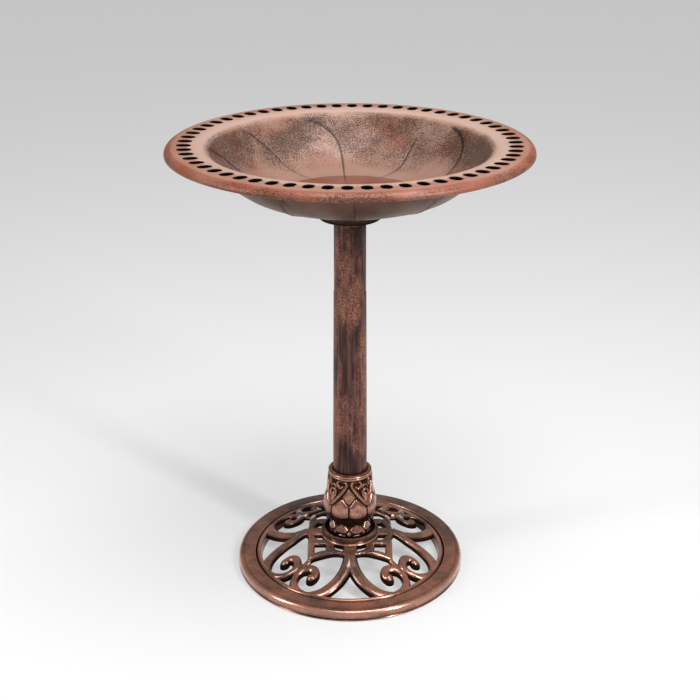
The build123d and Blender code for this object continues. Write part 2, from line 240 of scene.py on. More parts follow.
def smooth_path(points, per_span=10):
    """Catmull-Rom path through given points of any dimension."""
    p = np.asarray(points, float)
    p = np.vstack([2 * p[0] - p[1], p, 2 * p[-1] - p[-2]])
    path = []
    for i in range(1, len(p) - 2):
        for t in np.linspace(0, 1, per_span, endpoint=False):
            a = 2 * p[i]
            b = (p[i + 1] - p[i - 1]) * t
            c = (2 * p[i - 1] - 5 * p[i] + 4 * p[i + 1] - p[i + 2]) * t * t
            d = (3 * p[i] - p[i - 1] - 3 * p[i + 1] + p[i + 2]) * t ** 3
            path.append((a + b + c + d) / 2)
    path.append(p[-2])
    return np.array(path)


def band_depth(x, y, path):
    """Depth inside a band: path rows are x, y, half width. Returns the distance in from the
    band's edge and the half width where the nearest stretch of the path is."""
    depth = np.full(x.shape, -1e9)
    half = np.ones(x.shape)
    for (ax, ay, aw), (bx, by, bw) in zip(path[:-1], path[1:]):
        dx, dy = bx - ax, by - ay
        t = np.clip(((x - ax) * dx + (y - ay) * dy) / max(dx * dx + dy * dy, 1e-9), 0, 1)
        width = aw + t * (bw - aw)
        inside = width - np.hypot(x - ax - t * dx, y - ay - t * dy)
        nearer = inside > depth
        depth = np.where(nearer, inside, depth)
        half = np.where(nearer, width, half)
    return depth, half


def polygon_depth(x, y, corners):
    """Distance in from a polygon's edge, negative outside it."""
    nearest = np.full(x.shape, 1e9)
    inside = np.zeros(x.shape, bool)
    for (ax, ay), (bx, by) in zip(corners, corners[1:] + corners[:1]):
        dx, dy = bx - ax, by - ay
        t = np.clip(((x - ax) * dx + (y - ay) * dy) / (dx * dx + dy * dy), 0, 1)
        nearest = np.minimum(nearest, np.hypot(x - ax - t * dx, y - ay - t * dy))
        crosses = (ay > y) != (by > y)
        inside ^= crosses & (x < (bx - ax) * (y - ay) / ((by - ay) or 1e-9) + ax)
    return np.where(inside, nearest, -nearest)


def crown(depth, width):
    """Rounded section: 0 at the edge, 1 at width and beyond, upright at the edge."""
    share = np.clip(depth / width, 0, 1)
    return np.sqrt(1 - (1 - share) ** 2)


def soft_max(a, b, blend):
    """Larger of two fields, with a fillet of about the blend's size between them."""
    h = np.clip(0.5 + 0.5 * (a - b) / blend, 0, 1)
    return b + (a - b) * h + blend * h * (1 - h)


# ---------------------------------------------------------------- geometry nodes
def add(tree, kind, inputs=None, **settings):
    """New node with its settings; each input is a socket to link or a value to set."""
    new = tree.nodes.new(kind)
    for key, value in settings.items():
        setattr(new, key, value)
    for key, value in (inputs or {}).items():
        if isinstance(value, bpy.types.NodeSocket):
            tree.links.new(value, new.inputs[key])
        else:
            new.inputs[key].default_value = value
    return new


def made(tree, kind, inputs=None, **settings):
    """First output of a new node."""
    return add(tree, kind, inputs, **settings).outputs[0]


def calc(tree, operation, a, b=0.0, clamp=False):
    return made(tree, "ShaderNodeMath", {0: a, 1: b}, operation=operation, use_clamp=clamp)


def new_tree(name, *inputs):
    """Empty geometry tree with a geometry socket and the named inputs. Returns the tree and
    its input sockets."""
    tree = bpy.data.node_groups.new(name, "GeometryNodeTree")
    for label, kind in (("Geometry", "Geometry"), *inputs, ("Material", "Material")):
        tree.interface.new_socket(label, in_out="INPUT", socket_type="NodeSocket" + kind)
    tree.interface.new_socket("Geometry", in_out="OUTPUT", socket_type="NodeSocketGeometry")
    return tree, tree.nodes.new("NodeGroupInput").outputs


def finish_tree(tree, geometry, ask):
    """Ends a tree in Realize Instances and Set Material."""
    real = made(tree, "GeometryNodeRealizeInstances", {0: geometry})
    painted = made(
        tree, "GeometryNodeSetMaterial", {"Geometry": real, "Material": ask["Material"]}
    )
    tree.links.new(painted, tree.nodes.new("NodeGroupOutput").inputs[0])
    return tree


def angle_of_step(tree, index, count):
    """Angle of one of count equal steps round the circle."""
    return calc(tree, "MULTIPLY", index, calc(tree, "DIVIDE", TAU, count))


@cache
def ring_of_copies_tree():
    """Repeats a sector round the Z axis and joins the copies along their shared edges."""
    tree, ask = new_tree("Ring of copies", ("Count", "Int"), ("Join distance", "Float"))
    points = made(tree, "GeometryNodePoints", {"Count": ask["Count"]})
    turn = angle_of_step(tree, made(tree, "GeometryNodeInputIndex"), ask["Count"])
    euler = made(tree, "ShaderNodeCombineXYZ", {"Z": turn})
    rotation = made(tree, "FunctionNodeEulerToRotation", {0: euler})
    instances = {"Points": points, "Instance": ask["Geometry"], "Rotation": rotation}
    copies = made(tree, "GeometryNodeInstanceOnPoints", instances)
    real = made(tree, "GeometryNodeRealizeInstances", {0: copies})
    joining = {"Geometry": real, "Distance": ask["Join distance"]}
    return finish_tree(tree, made(tree, "GeometryNodeMergeByDistance", joining), ask)


@cache
def turned_tree():
    """Turns a profile of (radius, 0, height) points round the Z axis."""
    tree, ask = new_tree("Turned piece", ("Segments", "Int"))
    profile = ask["Geometry"]
    count = add(tree, "GeometryNodeAttributeDomainSize", {0: profile}).outputs["Point Count"]
    columns = calc(tree, "ADD", ask["Segments"], 1.0)
    size = {"Vertices X": columns, "Vertices Y": count}
    grid = add(tree, "GeometryNodeMeshGrid", size).outputs["Mesh"]
    index = made(tree, "GeometryNodeInputIndex")
    row = calc(tree, "FLOORED_MODULO", index, count)
    column = calc(tree, "FLOOR", calc(tree, "DIVIDE", index, count))
    turn = angle_of_step(tree, column, ask["Segments"])

    def on_profile(kind, value):
        """Value of the profile's point that a grid point belongs to."""
        sample = add(tree, "GeometryNodeSampleIndex", data_type=kind)
        for key, source in (("Geometry", profile), ("Value", value), ("Index", row)):
            tree.links.new(source, sample.inputs[key])
        return sample.outputs[0]

    named = {"Name": "relief"}
    relief = made(tree, "GeometryNodeInputNamedAttribute", named, data_type="FLOAT")
    relief = on_profile("FLOAT", relief)
    place = on_profile("FLOAT_VECTOR", made(tree, "GeometryNodeInputPosition"))
    radius, _, height = add(tree, "ShaderNodeSeparateXYZ", {0: place}).outputs
    x, y = (calc(tree, "MULTIPLY", radius, calc(tree, way, turn)) for way in ("COSINE", "SINE"))
    target = made(tree, "ShaderNodeCombineXYZ", {"X": x, "Y": y, "Z": height})
    toned = {"Geometry": grid, "Value": relief, "Name": "relief"}
    kept = made(
        tree, "GeometryNodeStoreNamedAttribute", toned, data_type="FLOAT", domain="POINT"
    )
    wrapped = made(tree, "GeometryNodeSetPosition", {"Geometry": kept, "Position": target})
    joining = {"Geometry": wrapped, "Distance": 1e-6}
    return finish_tree(tree, made(tree, "GeometryNodeMergeByDistance", joining), ask)


@cache
def thread_tree():
    """Helical ridge of a coarse moulded thread, rising anticlockwise."""
    inputs = [(name, "Float") for name in ("Radius", "Lead", "Turns", "Ridge", "Start height")]
    tree, ask = new_tree("Screw thread", *inputs)
    helix_size = {
        "Rotations": ask["Turns"],
        "Start Radius": ask["Radius"],
        "End Radius": ask["Radius"],
        "Height": calc(tree, "MULTIPLY", ask["Lead"], ask["Turns"]),
        "Resolution": 64,
        "Reverse": False,
    }
    helix = made(tree, "GeometryNodeCurveSpiral", helix_size)
    section_size = {"Radius": ask["Ridge"], "Resolution": 8}
    section = made(tree, "GeometryNodeCurvePrimitiveCircle", section_size)
    sweep = {"Curve": helix, "Profile Curve": section, "Fill Caps": True}
    ridge = made(tree, "GeometryNodeCurveToMesh", sweep)
    up = made(tree, "ShaderNodeCombineXYZ", {"Z": ask["Start height"]})
    placed = made(tree, "GeometryNodeSetPosition", {"Geometry": ridge, "Offset": up})
    return finish_tree(tree, placed, ask)


def evaluated_mesh(piece, modifier):
    """Replaces a piece's mesh by its evaluated one and removes the modifier."""
    bpy.context.view_layer.update()
    evaluated = piece.evaluated_get(bpy.context.evaluated_depsgraph_get())
    mesh = bpy.data.meshes.new_from_object(evaluated)
    piece.modifiers.remove(modifier)
    old, piece.data = piece.data, mesh
    bpy.data.meshes.remove(old)
    mesh.name = piece.name


def grow(piece, tree, **inputs):
    """Runs a geometry tree on a piece and keeps the result as its plain mesh."""
    modifier = piece.modifiers.new("Shape", "NODES")
    modifier.node_group = tree
    labels = {s.name: s.identifier for s in tree.interface.items_tree if s.in_out == "INPUT"}
    for key, value in inputs.items():
        modifier[labels[key.replace("_", " ")]] = value
    evaluated_mesh(piece, modifier)


def shade(piece, sharp_angle=35):
    """Smooth shading with real creases kept sharp."""
    mesh = piece.data
    mesh.polygons.foreach_set("use_smooth", [True] * len(mesh.polygons))
    mesh.set_sharp_from_angle(angle=math.radians(sharp_angle))
    mesh.update()


def turned_piece(name, rows, material, closed=True):
    """Turned piece from rows of (radius, height, tone) in millimetres. The tone is 0 where
    shade is painted into recesses and joints, 0.5 on plain paint and 1 where bright paint
    stands for wear and a painted highlight on edges."""
    loop = list(rows) + ([rows[0]] if closed else [])
    tones = [row[2] for row in loop]
    piece = mesh_piece(name, [(r, 0, z) for r, z, _ in loop], [], {"relief": tones})
    grow(piece, turned_tree(), Segments=sizes().turn_segments, Material=material)
    outward(piece.data)
    shade(piece)
    return piece


def repeat_round(piece, count, material, turn=0.0):
    """Repeats a sector round the pole as one closed piece, turned by an angle."""
    grow(piece, ring_of_copies_tree(), Count=count, Join_distance=2e-5, Material=material)
    piece.data.transform(Matrix.Rotation(turn, 4, "Z"))
    outward(piece.data)


def settle(piece, body, slot, *nodes):
    """Ties a finished piece to its CAD body and hides the nodes that it stands for; the finish named
    by slot is not used.
    """
    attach(piece, body)
    if nodes:
        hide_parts(*nodes)


# ---------------------------------------------------------------- materials
PATCH_SHIFT = (7.1, 4.9, 2.2)  # moves the paint's large patches about the object
# Near-black colour of the painted shade in recesses and on the sides of ribs
PAINTED_SHADE_BLACK = (0.008, 0.005, 0.004, 1.0)
# Colour of the painted shade at the pole's joints
POLE_PAINTED_SHADE = (0.015, 0.01, 0.009, 1.0)
LINE_BLACK = (0.02, 0.014, 0.011, 1.0)
# Near-black colour of the painted shade in the slots and under the rim
PAINTED_SHADE_NEAR_BLACK = (0.002, 0.0015, 0.0015, 1.0)


class Paint:
    """Material under construction: its tree, its shader and the object's coordinates."""

    def __init__(self, name):
        self.material = bpy.data.materials.new(name)
        self.material.use_nodes = True
        self.tree = self.material.node_tree
        self.tree.nodes.clear()
        self.shader = add(self.tree, "ShaderNodeBsdfPrincipled")
        add(self.tree, "ShaderNodeOutputMaterial", {0: self.shader.outputs[0]})
        self.where = add(self.tree, "ShaderNodeTexCoord").outputs["Object"]

    def give(self, **inputs):
        """Sets or links the shader's inputs; an underscore stands for a space."""
        for key, value in inputs.items():
            socket = self.shader.inputs[key.replace("_", " ")]
            if isinstance(value, bpy.types.NodeSocket):
                self.tree.links.new(value, socket)
            else:
                socket.default_value = value

    def noise(self, scale, detail=3.0, rough=0.55, stretch=(1.0, 1.0, 1.0), shift=(0.0, 0.0, 0.0)):
        """Noise in object space, stretched and moved by a Mapping node."""
        placing = {0: self.where, "Scale": stretch, "Location": shift}
        where = made(self.tree, "ShaderNodeMapping", placing)
        values = {"Vector": where, "Scale": scale, "Detail": detail, "Roughness": rough}
        return made(self.tree, "ShaderNodeTexNoise", values)

    def ramp(self, factor, *stops):
        """Colour ramp; each stop is (position, colour or grey)."""
        new = add(self.tree, "ShaderNodeValToRGB", {0: factor})
        elements = new.color_ramp.elements
        while len(elements) < len(stops):
            elements.new(0.5)
        for element, (position, value) in zip(elements, stops):
            element.position = position
            element.color = value if isinstance(value, tuple) else (value, value, value, 1.0)
        return new.outputs[0]

    def mix(self, factor, a, b):
        """Colour mix; each input is a socket or a colour."""
        inputs = {0: factor, 6: a, 7: b}
        return add(self.tree, "ShaderNodeMix", inputs, data_type="RGBA").outputs[2]

    def times(self, a, b, clamp=False):
        return calc(self.tree, "MULTIPLY", a, b, clamp)

    def minus(self, a, b):
        return calc(self.tree, "SUBTRACT", a, b)

    def plus(self, a, b):
        return calc(self.tree, "ADD", a, b)

    def attribute(self, name):
        return add(self.tree, "ShaderNodeAttribute", attribute_name=name).outputs["Fac"]

    def bump(self, height, strength, distance):
        values = {"Height": height, "Strength": strength, "Distance": distance}
        self.give(Normal=made(self.tree, "ShaderNodeBump", values))


def patched_copper(name, patch_scale, dark_share, gloss, metal, wear_and_highlight_share=0.55, coat=0.8):
    """Copper-bronze paint with charcoal patches, painted shade in the recesses and bright edges that
    are partly wear and partly painted highlight.
    """
    p = Paint(name)
    patches = p.noise(patch_scale, 5.0, 0.62, shift=PATCH_SHIFT)
    patch_mask = p.ramp(patches, (dark_share - 0.06, 1.0), (dark_share + 0.06, 0.0))
    grain = p.noise(520.0, 2.0, 0.7)
    shades = (0.38, colour_of("copper", 0.45)), (0.62, colour_of("copper"))
    tint = p.ramp(p.noise(patch_scale * 2.3, 4.0), *shades)
    base = p.mix(p.times(patch_mask, 0.85), tint, colour_of("charcoal"))
    base = p.mix(p.ramp(grain, (0.42, 0.0), (0.75, 0.3)), base, colour_of("wear_and_highlight"))
    relief = p.attribute("relief")
    # Bright paint on raised edges, partly wear and partly a painted highlight
    edge = p.ramp(relief, (0.58, 0.0), (0.98, 1.0))
    base = p.mix(p.times(edge, wear_and_highlight_share), base, colour_of("wear_and_highlight"))
    # Painted shade: low tones go near black and lose their coat and specular, so the painted shade
    # stays black
    painted_recess_shade = p.ramp(relief, (0.08, 1.0), (0.42, 0.0))
    base = p.mix(p.times(painted_recess_shade, 0.94), base, PAINTED_SHADE_BLACK)
    p.give(Base_Color=base, Roughness=p.ramp(grain, (0.3, gloss), (0.8, gloss + 0.14)))
    p.give(Metallic=metal, Coat_Roughness=0.14, Specular_IOR_Level=0.5 * coat)
    p.give(Coat_Weight=p.ramp(relief, (0.1, 0.0), (0.45, coat)))
    p.give(Specular_IOR_Level=p.ramp(relief, (0.1, 0.0), (0.45, 0.6 * coat)))
    p.bump(grain, 0.1, 0.0005)
    return p.material


@cache
def foot_paint():
    return patched_copper("Foot paint", 11.0, 0.495, 0.17, 0.55)


@cache
def collar_paint():
    return patched_copper("Collar paint", 45.0, 0.4, 0.2, 0.6)


# Mostly charcoal: the boss under the bowl is darkened as painted shade
@cache
def boss_paint_in_shade():
    return patched_copper("Boss paint", 30.0, 0.9, 0.5, 0.0, 0.12, 0.1)


# Stretches of the bowl's zone attribute that hold one colour: first, last, colour
# The shoulder stretch is a painted highlight and the underside stretch is painted shade
BOWL_ZONES = (
    (0.0, 0.1, "bowl_floor"), (0.16, 0.33, "bowl_wall"), (0.43, 0.52, "bowl_shoulder"),
    (0.6, 0.68, "bowl_rim"), (0.74, 0.84, "bowl_lip"), (0.9, 1.0, "bowl_under"),
)


@cache
def bowl_paint():
    """Pinkish copper bowl paint, zoned from floor to underside by the zone attribute."""
    p = Paint("Bowl paint")
    zone = p.attribute("zone")
    drift = p.times(p.minus(p.noise(24.0), 0.5), 0.12)
    stops = [(edge, colour_of(name)) for *ends, name in BOWL_ZONES for edge in ends]
    base = p.ramp(p.plus(zone, drift), *stops)
    cloud = p.ramp(p.noise(9.0), (0.4, 0.0), (0.7, 0.28))
    base = p.mix(cloud, base, colour_of("bowl_shoulder"))
    brushed = p.attribute("brushed")
    rusty = p.times(p.ramp(p.noise(19.0), (0.48, 0.0), (0.62, 0.7)), brushed)
    base = p.mix(rusty, base, colour_of("bowl_lip"))
    patches = p.ramp(p.noise(13.0, 4.0, 0.6), (0.36, 0.0), (0.6, 1.0))
    fine = p.noise(680.0, 2.0, 0.8)
    cover = p.times(p.minus(p.plus(patches, brushed), 0.7), 0.15, True)
    spots = p.times(p.minus(fine, p.minus(0.595, cover)), 16.0, True)
    amount = p.times(spots, p.ramp(brushed, (0.0, 0.0), (0.25, 0.92)))
    base = p.mix(amount, base, colour_of("speckle"))
    base = p.mix(p.times(p.attribute("line"), 0.95), base, LINE_BLACK)
    # Painted shade: the slots, the band's underside and the low underside go near black, with little
    # specular
    dark = p.attribute("dark")
    p.give(Base_Color=p.mix(dark, base, PAINTED_SHADE_NEAR_BLACK), Metallic=0.06, Specular_IOR_Level=0.3)
    p.give(Roughness=p.ramp(fine, (0.3, 0.32), (0.8, 0.46)))
    gloss = p.times(
        p.ramp(dark, (0.0, 0.38), (0.5, 0.0)), p.ramp(zone, (0.84, 1.0), (0.92, 0.25))
    )
    p.give(Specular_IOR_Level=p.times(gloss, p.minus(1.0, p.times(amount, 0.85))))
    p.bump(fine, 0.22, 0.0007)
    return p.material


@cache
def pole_paint():
    """Brown pole paint with upright streaks and coppery flecks."""
    p = Paint("Pole paint")
    streaks = p.noise(260.0, 4.0, 0.6, (1.0, 1.0, 0.05))
    patches = p.noise(14.0, 4.0, 0.62, (1.6, 1.6, 0.55))
    fine = p.noise(760.0, 3.0, 0.85, (1.0, 1.0, 0.6))
    browns = [(place, colour_of("pole_brown", share))
              for place, share in ((0.38, 0.45), (0.5, 1.0), (0.64, 2.6))]
    base = p.ramp(streaks, *browns)
    flecks = p.times(
        p.ramp(patches, (0.445, 0.03), (0.585, 1.0)), p.ramp(fine, (0.45, 0.0), (0.6, 1.0))
    )
    base = p.mix(flecks, base, colour_of("pole_fleck"))
    relief = p.attribute("relief")
    # Painted shade at the joints and a bright edge that is partly wear, partly painted highlight
    base = p.mix(p.ramp(relief, (0.05, 0.9), (0.4, 0.0)), base, POLE_PAINTED_SHADE)
    base = p.mix(p.ramp(relief, (0.62, 0.0), (0.98, 0.6)), base, colour_of("wear_and_highlight"))
    p.give(Base_Color=base, Roughness=p.ramp(fine, (0.3, 0.36), (0.8, 0.55)))
    p.give(Metallic=0.25, Specular_IOR_Level=0.22)
    p.bump(fine, 0.2, 0.0006)
    return p.material


def grained(name, colour_name, dull, noise, rough, metal, bump):
    """Plain finish whose colour and gloss vary a little with one fine grain."""
    p = Paint(name)
    grain = p.noise(*noise)
    low, high = rough
    shades = (0.3, colour_of(colour_name, dull)), (0.7, colour_of(colour_name))
    p.give(Base_Color=p.ramp(grain, *shades), Roughness=p.ramp(grain, (0.3, low), (0.7, high)))
    p.give(Metallic=metal)
    p.bump(grain, *bump)
    return p.material


@cache
def inner_plastic():
    """Unpainted moulded plastic of the hidden pieces."""
    return grained(
        "Inner plastic", "inner", 0.7, (300.0, 3.0), (0.45, 0.6), 0.0, (0.15, 0.0004)
    )


@cache
def zinc_plate():
    """Zinc-plated steel with faint drawn lines."""
    drawn = (350.0, 4.0, 0.6, (1.0, 1.0, 0.15))
    return grained("Zinc plate", "zinc", 0.75, drawn, (0.28, 0.42), 1.0, (0.1, 0.0003))


# ---------------------------------------------------------------- bowl
BOWL_WALL_T = 3.0
BOWL_FLOOR_T = 7.0
BOWL_FLOOR_R = 108.0
BOWL_PAD_R = 50.0
THROAT_R = BOWL_R - 60.0
WALL_RISE = 75.0
WALL_POWER = 3.45
RIM_IN_R = BOWL_R - 39.0  # where the slotted band starts
RIM_OUT_R = BOWL_R - 16.8
SLOT_BAND_EXTRA = 4.4  # the band round the slots is this much thicker than the wall
UNDER_HOLLOW = 3.2  # the underside lies this much higher round the boss
SECTOR_COLUMNS = 12
SIDE_STEPS = 7

ZONE_FLOOR, ZONE_WALL, ZONE_RIM, ZONE_LIP, ZONE_UNDER = 0.0, 0.3, 0.6, 0.8, 1.0


def wall_point(share, inset):
    """Point of the side wall: share runs from the pad's edge to the throat, and inset is the
    distance inwards from the outer face, square to it."""
    radius = BOWL_PAD_R + share * (THROAT_R - BOWL_PAD_R)
    height = PAD_Z + WALL_RISE * share ** WALL_POWER
    slope = WALL_RISE * WALL_POWER * share ** (WALL_POWER - 1) / (THROAT_R - BOWL_PAD_R)
    length = math.hypot(1, slope)
    return (radius - inset * slope / length, height + inset / length)


def bezier(p0, p1, p2, p3, steps):
    """Points of a Bezier curve, its start left out."""
    result = []
    for i in range(1, steps + 1):
        t = i / steps
        s = 1 - t
        result.append(
            tuple(
                s ** 3 * a + 3 * s * s * t * b + 3 * s * t * t * c + t ** 3 * d
                for a, b, c, d in zip(p0, p1, p2, p3)
            )
        )
    return result


def flange_top(radius):
    """Height of the rim's upper face between the shoulder and the lip."""
    return RIM_Z - 0.8 + 0.6 * np.clip((radius - RIM_IN_R) / (RIM_OUT_R - RIM_IN_R), 0, 1)


def band_under(radius):
    """Height of the rim's underside, which is thicker round the slots."""
    into = np.minimum(radius - RIM_IN_R, RIM_OUT_R - radius)
    return flange_top(radius) - BOWL_WALL_T - SLOT_BAND_EXTRA * np.clip(into / 2, 0, 1)


def bowl_inside():
    """Rows (radius, height, zone) from the floor's centre to the slotted band."""
    floor_z = PAD_Z + BOWL_FLOOR_T
    rows = [(r, floor_z, ZONE_FLOOR) for r in (0.0, 12.0, 30.0, 48.0, 64.0)]
    rows += [(r, floor_z, ZONE_FLOOR) for r in np.linspace(76, BOWL_FLOOR_R - 3, 8)]
    start = (BOWL_FLOOR_R, floor_z + 0.5)
    first = wall_point(0.62, BOWL_WALL_T)
    bends = (BOWL_FLOOR_R + 10, floor_z + 1.2), (first[0] - 9, first[1] - 4.5)
    foot = bezier(start, *bends, first, 10)
    rows += [(start[0], start[1], 0.12)] + [(r, z, ZONE_WALL) for r, z in foot]
    shares = np.linspace(0.62, 1.0, 30)[1:]
    rows += [(*wall_point(s, BOWL_WALL_T), ZONE_WALL) for s in shares]
    last = wall_point(1.0, BOWL_WALL_T)
    end = (RIM_IN_R, float(flange_top(RIM_IN_R)))
    turn = bezier(last, (last[0] + 3.2, last[1] + 5.5), (end[0] - 11, end[1] - 0.4), end, 11)
    # The turn up to the band takes the shoulder's painted highlight
    rows += [(r, z, ZONE_WALL + 0.25 * (i + 1) / len(turn)) for i, (r, z) in enumerate(turn)]
    return rows


def bowl_lip():
    """Rows from the slotted band over the crest and round the rolled lip to the band's
    underside."""
    crest = (BOWL_R - 15.5, RIM_Z)
    edge = (BOWL_R, RIM_Z - 10.0)
    rows = [(*crest, ZONE_RIM)]
    rows += quarter_round(crest, edge, [ZONE_LIP - 0.12] * 2 + [ZONE_LIP] * 7, "r")
    rows += [(BOWL_R, RIM_Z - 11.3, ZONE_LIP), (BOWL_R - 0.8, RIM_Z - 12.0, ZONE_LIP)]
    rows += [(BOWL_R - 2.4, RIM_Z - 12.0, ZONE_UNDER), (BOWL_R - 3.0, RIM_Z - 11.3, ZONE_UNDER)]
    under = (RIM_OUT_R + 1.0, RIM_Z - BOWL_WALL_T - 0.2)
    rows += quarter_round((BOWL_R - 3.0, RIM_Z - 9.5), under, [ZONE_UNDER] * 4, "z")
    return rows


def bowl_outside():
    """Rows from the band's underside down the outer wall to the pad's centre."""
    top = (RIM_IN_R, float(flange_top(RIM_IN_R)) - BOWL_WALL_T)
    last = wall_point(1.0, 0)
    turn = bezier(top, (top[0] - 9, top[1] - 0.5), (last[0] + 3.5, last[1] + 6.0), last, 6)
    rows = [(r, z, ZONE_UNDER) for r, z in turn]
    rows += [(*wall_point(s, 0), ZONE_UNDER) for s in np.linspace(1.0, 0.0, 17)[1:]]
    rows += [(r, PAD_Z, ZONE_UNDER) for r in (36.0, 18.0, 0.0)]
    return rows


def slot_loops(half):
    """Loops of the slotted band in one sector, from its outer boundary on top, down through
    the slot and out to the same boundary below. Each loop has the same number of points."""
    slot_l, slot_w = sizes().slot_length / MM, sizes().slot_width / MM
    turns = np.linspace(-half, half, SECTOR_COLUMNS + 1)
    radii = np.linspace(RIM_IN_R, RIM_OUT_R, SIDE_STEPS + 1)
    boundary = [(RIM_IN_R * math.cos(a), RIM_IN_R * math.sin(a)) for a in turns[:-1]]
    boundary += [(r * math.cos(half), r * math.sin(half)) for r in radii[:-1]]
    boundary += [(RIM_OUT_R * math.cos(a), RIM_OUT_R * math.sin(a)) for a in turns[::-1][:-1]]
    boundary += [(r * math.cos(half), -r * math.sin(half)) for r in radii[::-1][:-1]]
    boundary = np.array(boundary)
    centre = np.array([(RIM_IN_R + RIM_OUT_R) / 2, 0.0])
    straight = (slot_l - slot_w) / 2

    def hole(grow_by):
        """Slot outline, wider all round by grow_by, at the angle of each boundary point."""
        round_r = slot_w / 2 + grow_by
        ways = boundary - centre
        ways = ways / np.linalg.norm(ways, axis=1)[:, None]
        far = np.zeros(len(ways))
        for i, (ux, uy) in enumerate(ways):
            reach = round_r / max(abs(uy), 1e-9)
            if abs(ux) * reach > straight:
                b = abs(ux) * straight
                reach = b + math.sqrt(b * b - straight ** 2 + round_r ** 2)
            far[i] = reach
        return centre + ways * far[:, None]

    def ring(plan, top_drop, from_under, dark):
        radius = np.hypot(plan[:, 0], plan[:, 1])
        if from_under:
            return [(x, y, z, ZONE_UNDER, dark) for (x, y), z in zip(plan, band_under(radius))]
        # The band's inner part, between the slots, blends into the shoulder's painted highlight
        zone = ZONE_RIM - 0.08 * np.clip((RIM_IN_R + 12 - radius) / 10, 0, 1)
        heights = flange_top(radius) - top_drop
        return [(x, y, z, k, dark) for (x, y), z, k in zip(plan, heights, zone)]

    # Painted shade: the slot walls and the band's underside are marked near black
    rim_edge = hole(1.45)
    return [
        ring(boundary, 0, False, 0),
        ring(boundary * 0.45 + rim_edge * 0.55, 0, False, 0),
        ring(rim_edge, 0, False, 0),
        ring(hole(1.0), 0.3, False, 0.95),
        ring(hole(0.0), 1.3, False, 1),
        ring(hole(0.0), 0.0, True, 1),
        ring(boundary * 0.5 + hole(0.0) * 0.5, 0, True, 1),
        ring(boundary, 0, True, 1),
    ]


def bowl_sector():
    """One slot's share of the bowl, from the floor's centre to the pad's centre."""
    half = math.pi / sizes().slot_count
    turns = np.linspace(-half, half, SECTOR_COLUMNS + 1)
    points, faces, zones, painted_shades = [], [], [], []

    def add_rows(rows, painted_shade_until=None):
        start = len(points)
        for index, (r, z, zone) in enumerate(rows):
            for a in turns:
                points.append((r * math.cos(a), r * math.sin(a), z))
                zones.append(zone)
                painted_shades.append(1.0 if painted_shade_until is not None and painted_shade_until(index) else 0.0)
        faces.extend(grid_faces(len(rows), len(turns), start))

    inside, lip, outside = bowl_inside(), bowl_lip(), bowl_outside()
    band_out_top = (RIM_OUT_R, float(flange_top(RIM_OUT_R)), ZONE_RIM)
    band_out_under = (RIM_OUT_R, float(flange_top(RIM_OUT_R)) - BOWL_WALL_T, ZONE_UNDER)
    band_in_under = (RIM_IN_R, float(flange_top(RIM_IN_R)) - BOWL_WALL_T, ZONE_UNDER)
    # Painted shade on the underside of the lip and the band next to the slots
    add_rows(inside)
    lip_rows = [band_out_top] + lip + [band_out_under]
    add_rows(lip_rows, lambda index: index >= len(lip_rows) - 6)
    add_rows([band_in_under] + outside, lambda index: index < 3)
    loops = slot_loops(half)
    around = len(loops[0])
    start = len(points)
    for loop in loops:
        for x, y, z, zone, dark in loop:
            points.append((x, y, z))
            zones.append(zone)
            painted_shades.append(dark)
    for level in range(len(loops) - 1):
        for i in range(around):
            a, b = start + level * around + i, start + level * around + (i + 1) % around
            faces.append((a, b, b + around, a + around))
    return mesh_piece("bowl_shell", points, faces, {"zone": zones, "dark": painted_shades})


# Petal lines of the bowl, as (turn from the line's own place in degrees, radius): an edge
# that curls over the petal's top, a plain vein and a wide edge that leans over
CURLED_EDGE = [
    (-0.7, 62), (-0.5, 84), (0, 128), (-0.7, 162), (-4, 181.5), (-10.7, 193.2), (-18, 198.0),
]
PLAIN_VEIN = [(-12, 90), (-2.5, 126), (0, 145), (0.3, 167), (1.5, 182)]
LEANING_EDGE = [(13, 82), (5.5, 116), (0, 145), (-3, 169), (-10, 190), (-15, 196)]
PETAL_LINES = [
    (CURLED_EDGE, -4.3, 0.75),
    (CURLED_EDGE, 69.0, 1.6),
    (CURLED_EDGE, 141.0, 1.0),
    (CURLED_EDGE, 213.0, 1.0),
    (CURLED_EDGE, -76.0, 0.8),
    (PLAIN_VEIN, 32.3, 0.8),
    (PLAIN_VEIN, 105.0, 0.7),
    (PLAIN_VEIN, 177.0, 0.7),
    (LEANING_EDGE, -40.0, 0.6),
    (LEANING_EDGE, 249.0, 0.6),
]


def petal_line_distance(points):
    """Distance of each point from the nearest petal line and that line's strength. Angles
    run clockwise from +Y, seen from above."""
    best = np.full(len(points), 1e9)
    strength = np.zeros(len(points))
    for shape, turn, weight in PETAL_LINES:
        path = smooth_path(shape, 8)
        angles = np.radians(path[:, 0] + turn)
        xs, ys = path[:, 1] * np.sin(angles), path[:, 1] * np.cos(angles)
        fade = np.clip(np.linspace(0.25, 2.2, len(xs)), 0, 1)
        fade = fade * np.clip(np.linspace(4, 0.5, len(xs)), 0, 1)
        for i in range(len(xs) - 1):
            dx, dy = xs[i + 1] - xs[i], ys[i + 1] - ys[i]
            t = ((points[:, 0] - xs[i]) * dx + (points[:, 1] - ys[i]) * dy) / (dx * dx + dy * dy)
            t = np.clip(t, 0, 1)
            away = np.hypot(points[:, 0] - xs[i] - t * dx, points[:, 1] - ys[i] - t * dy)
            nearer = away < best
            best = np.where(nearer, away, best)
            strength = np.where(nearer, weight * fade[i], strength)
    return best, strength


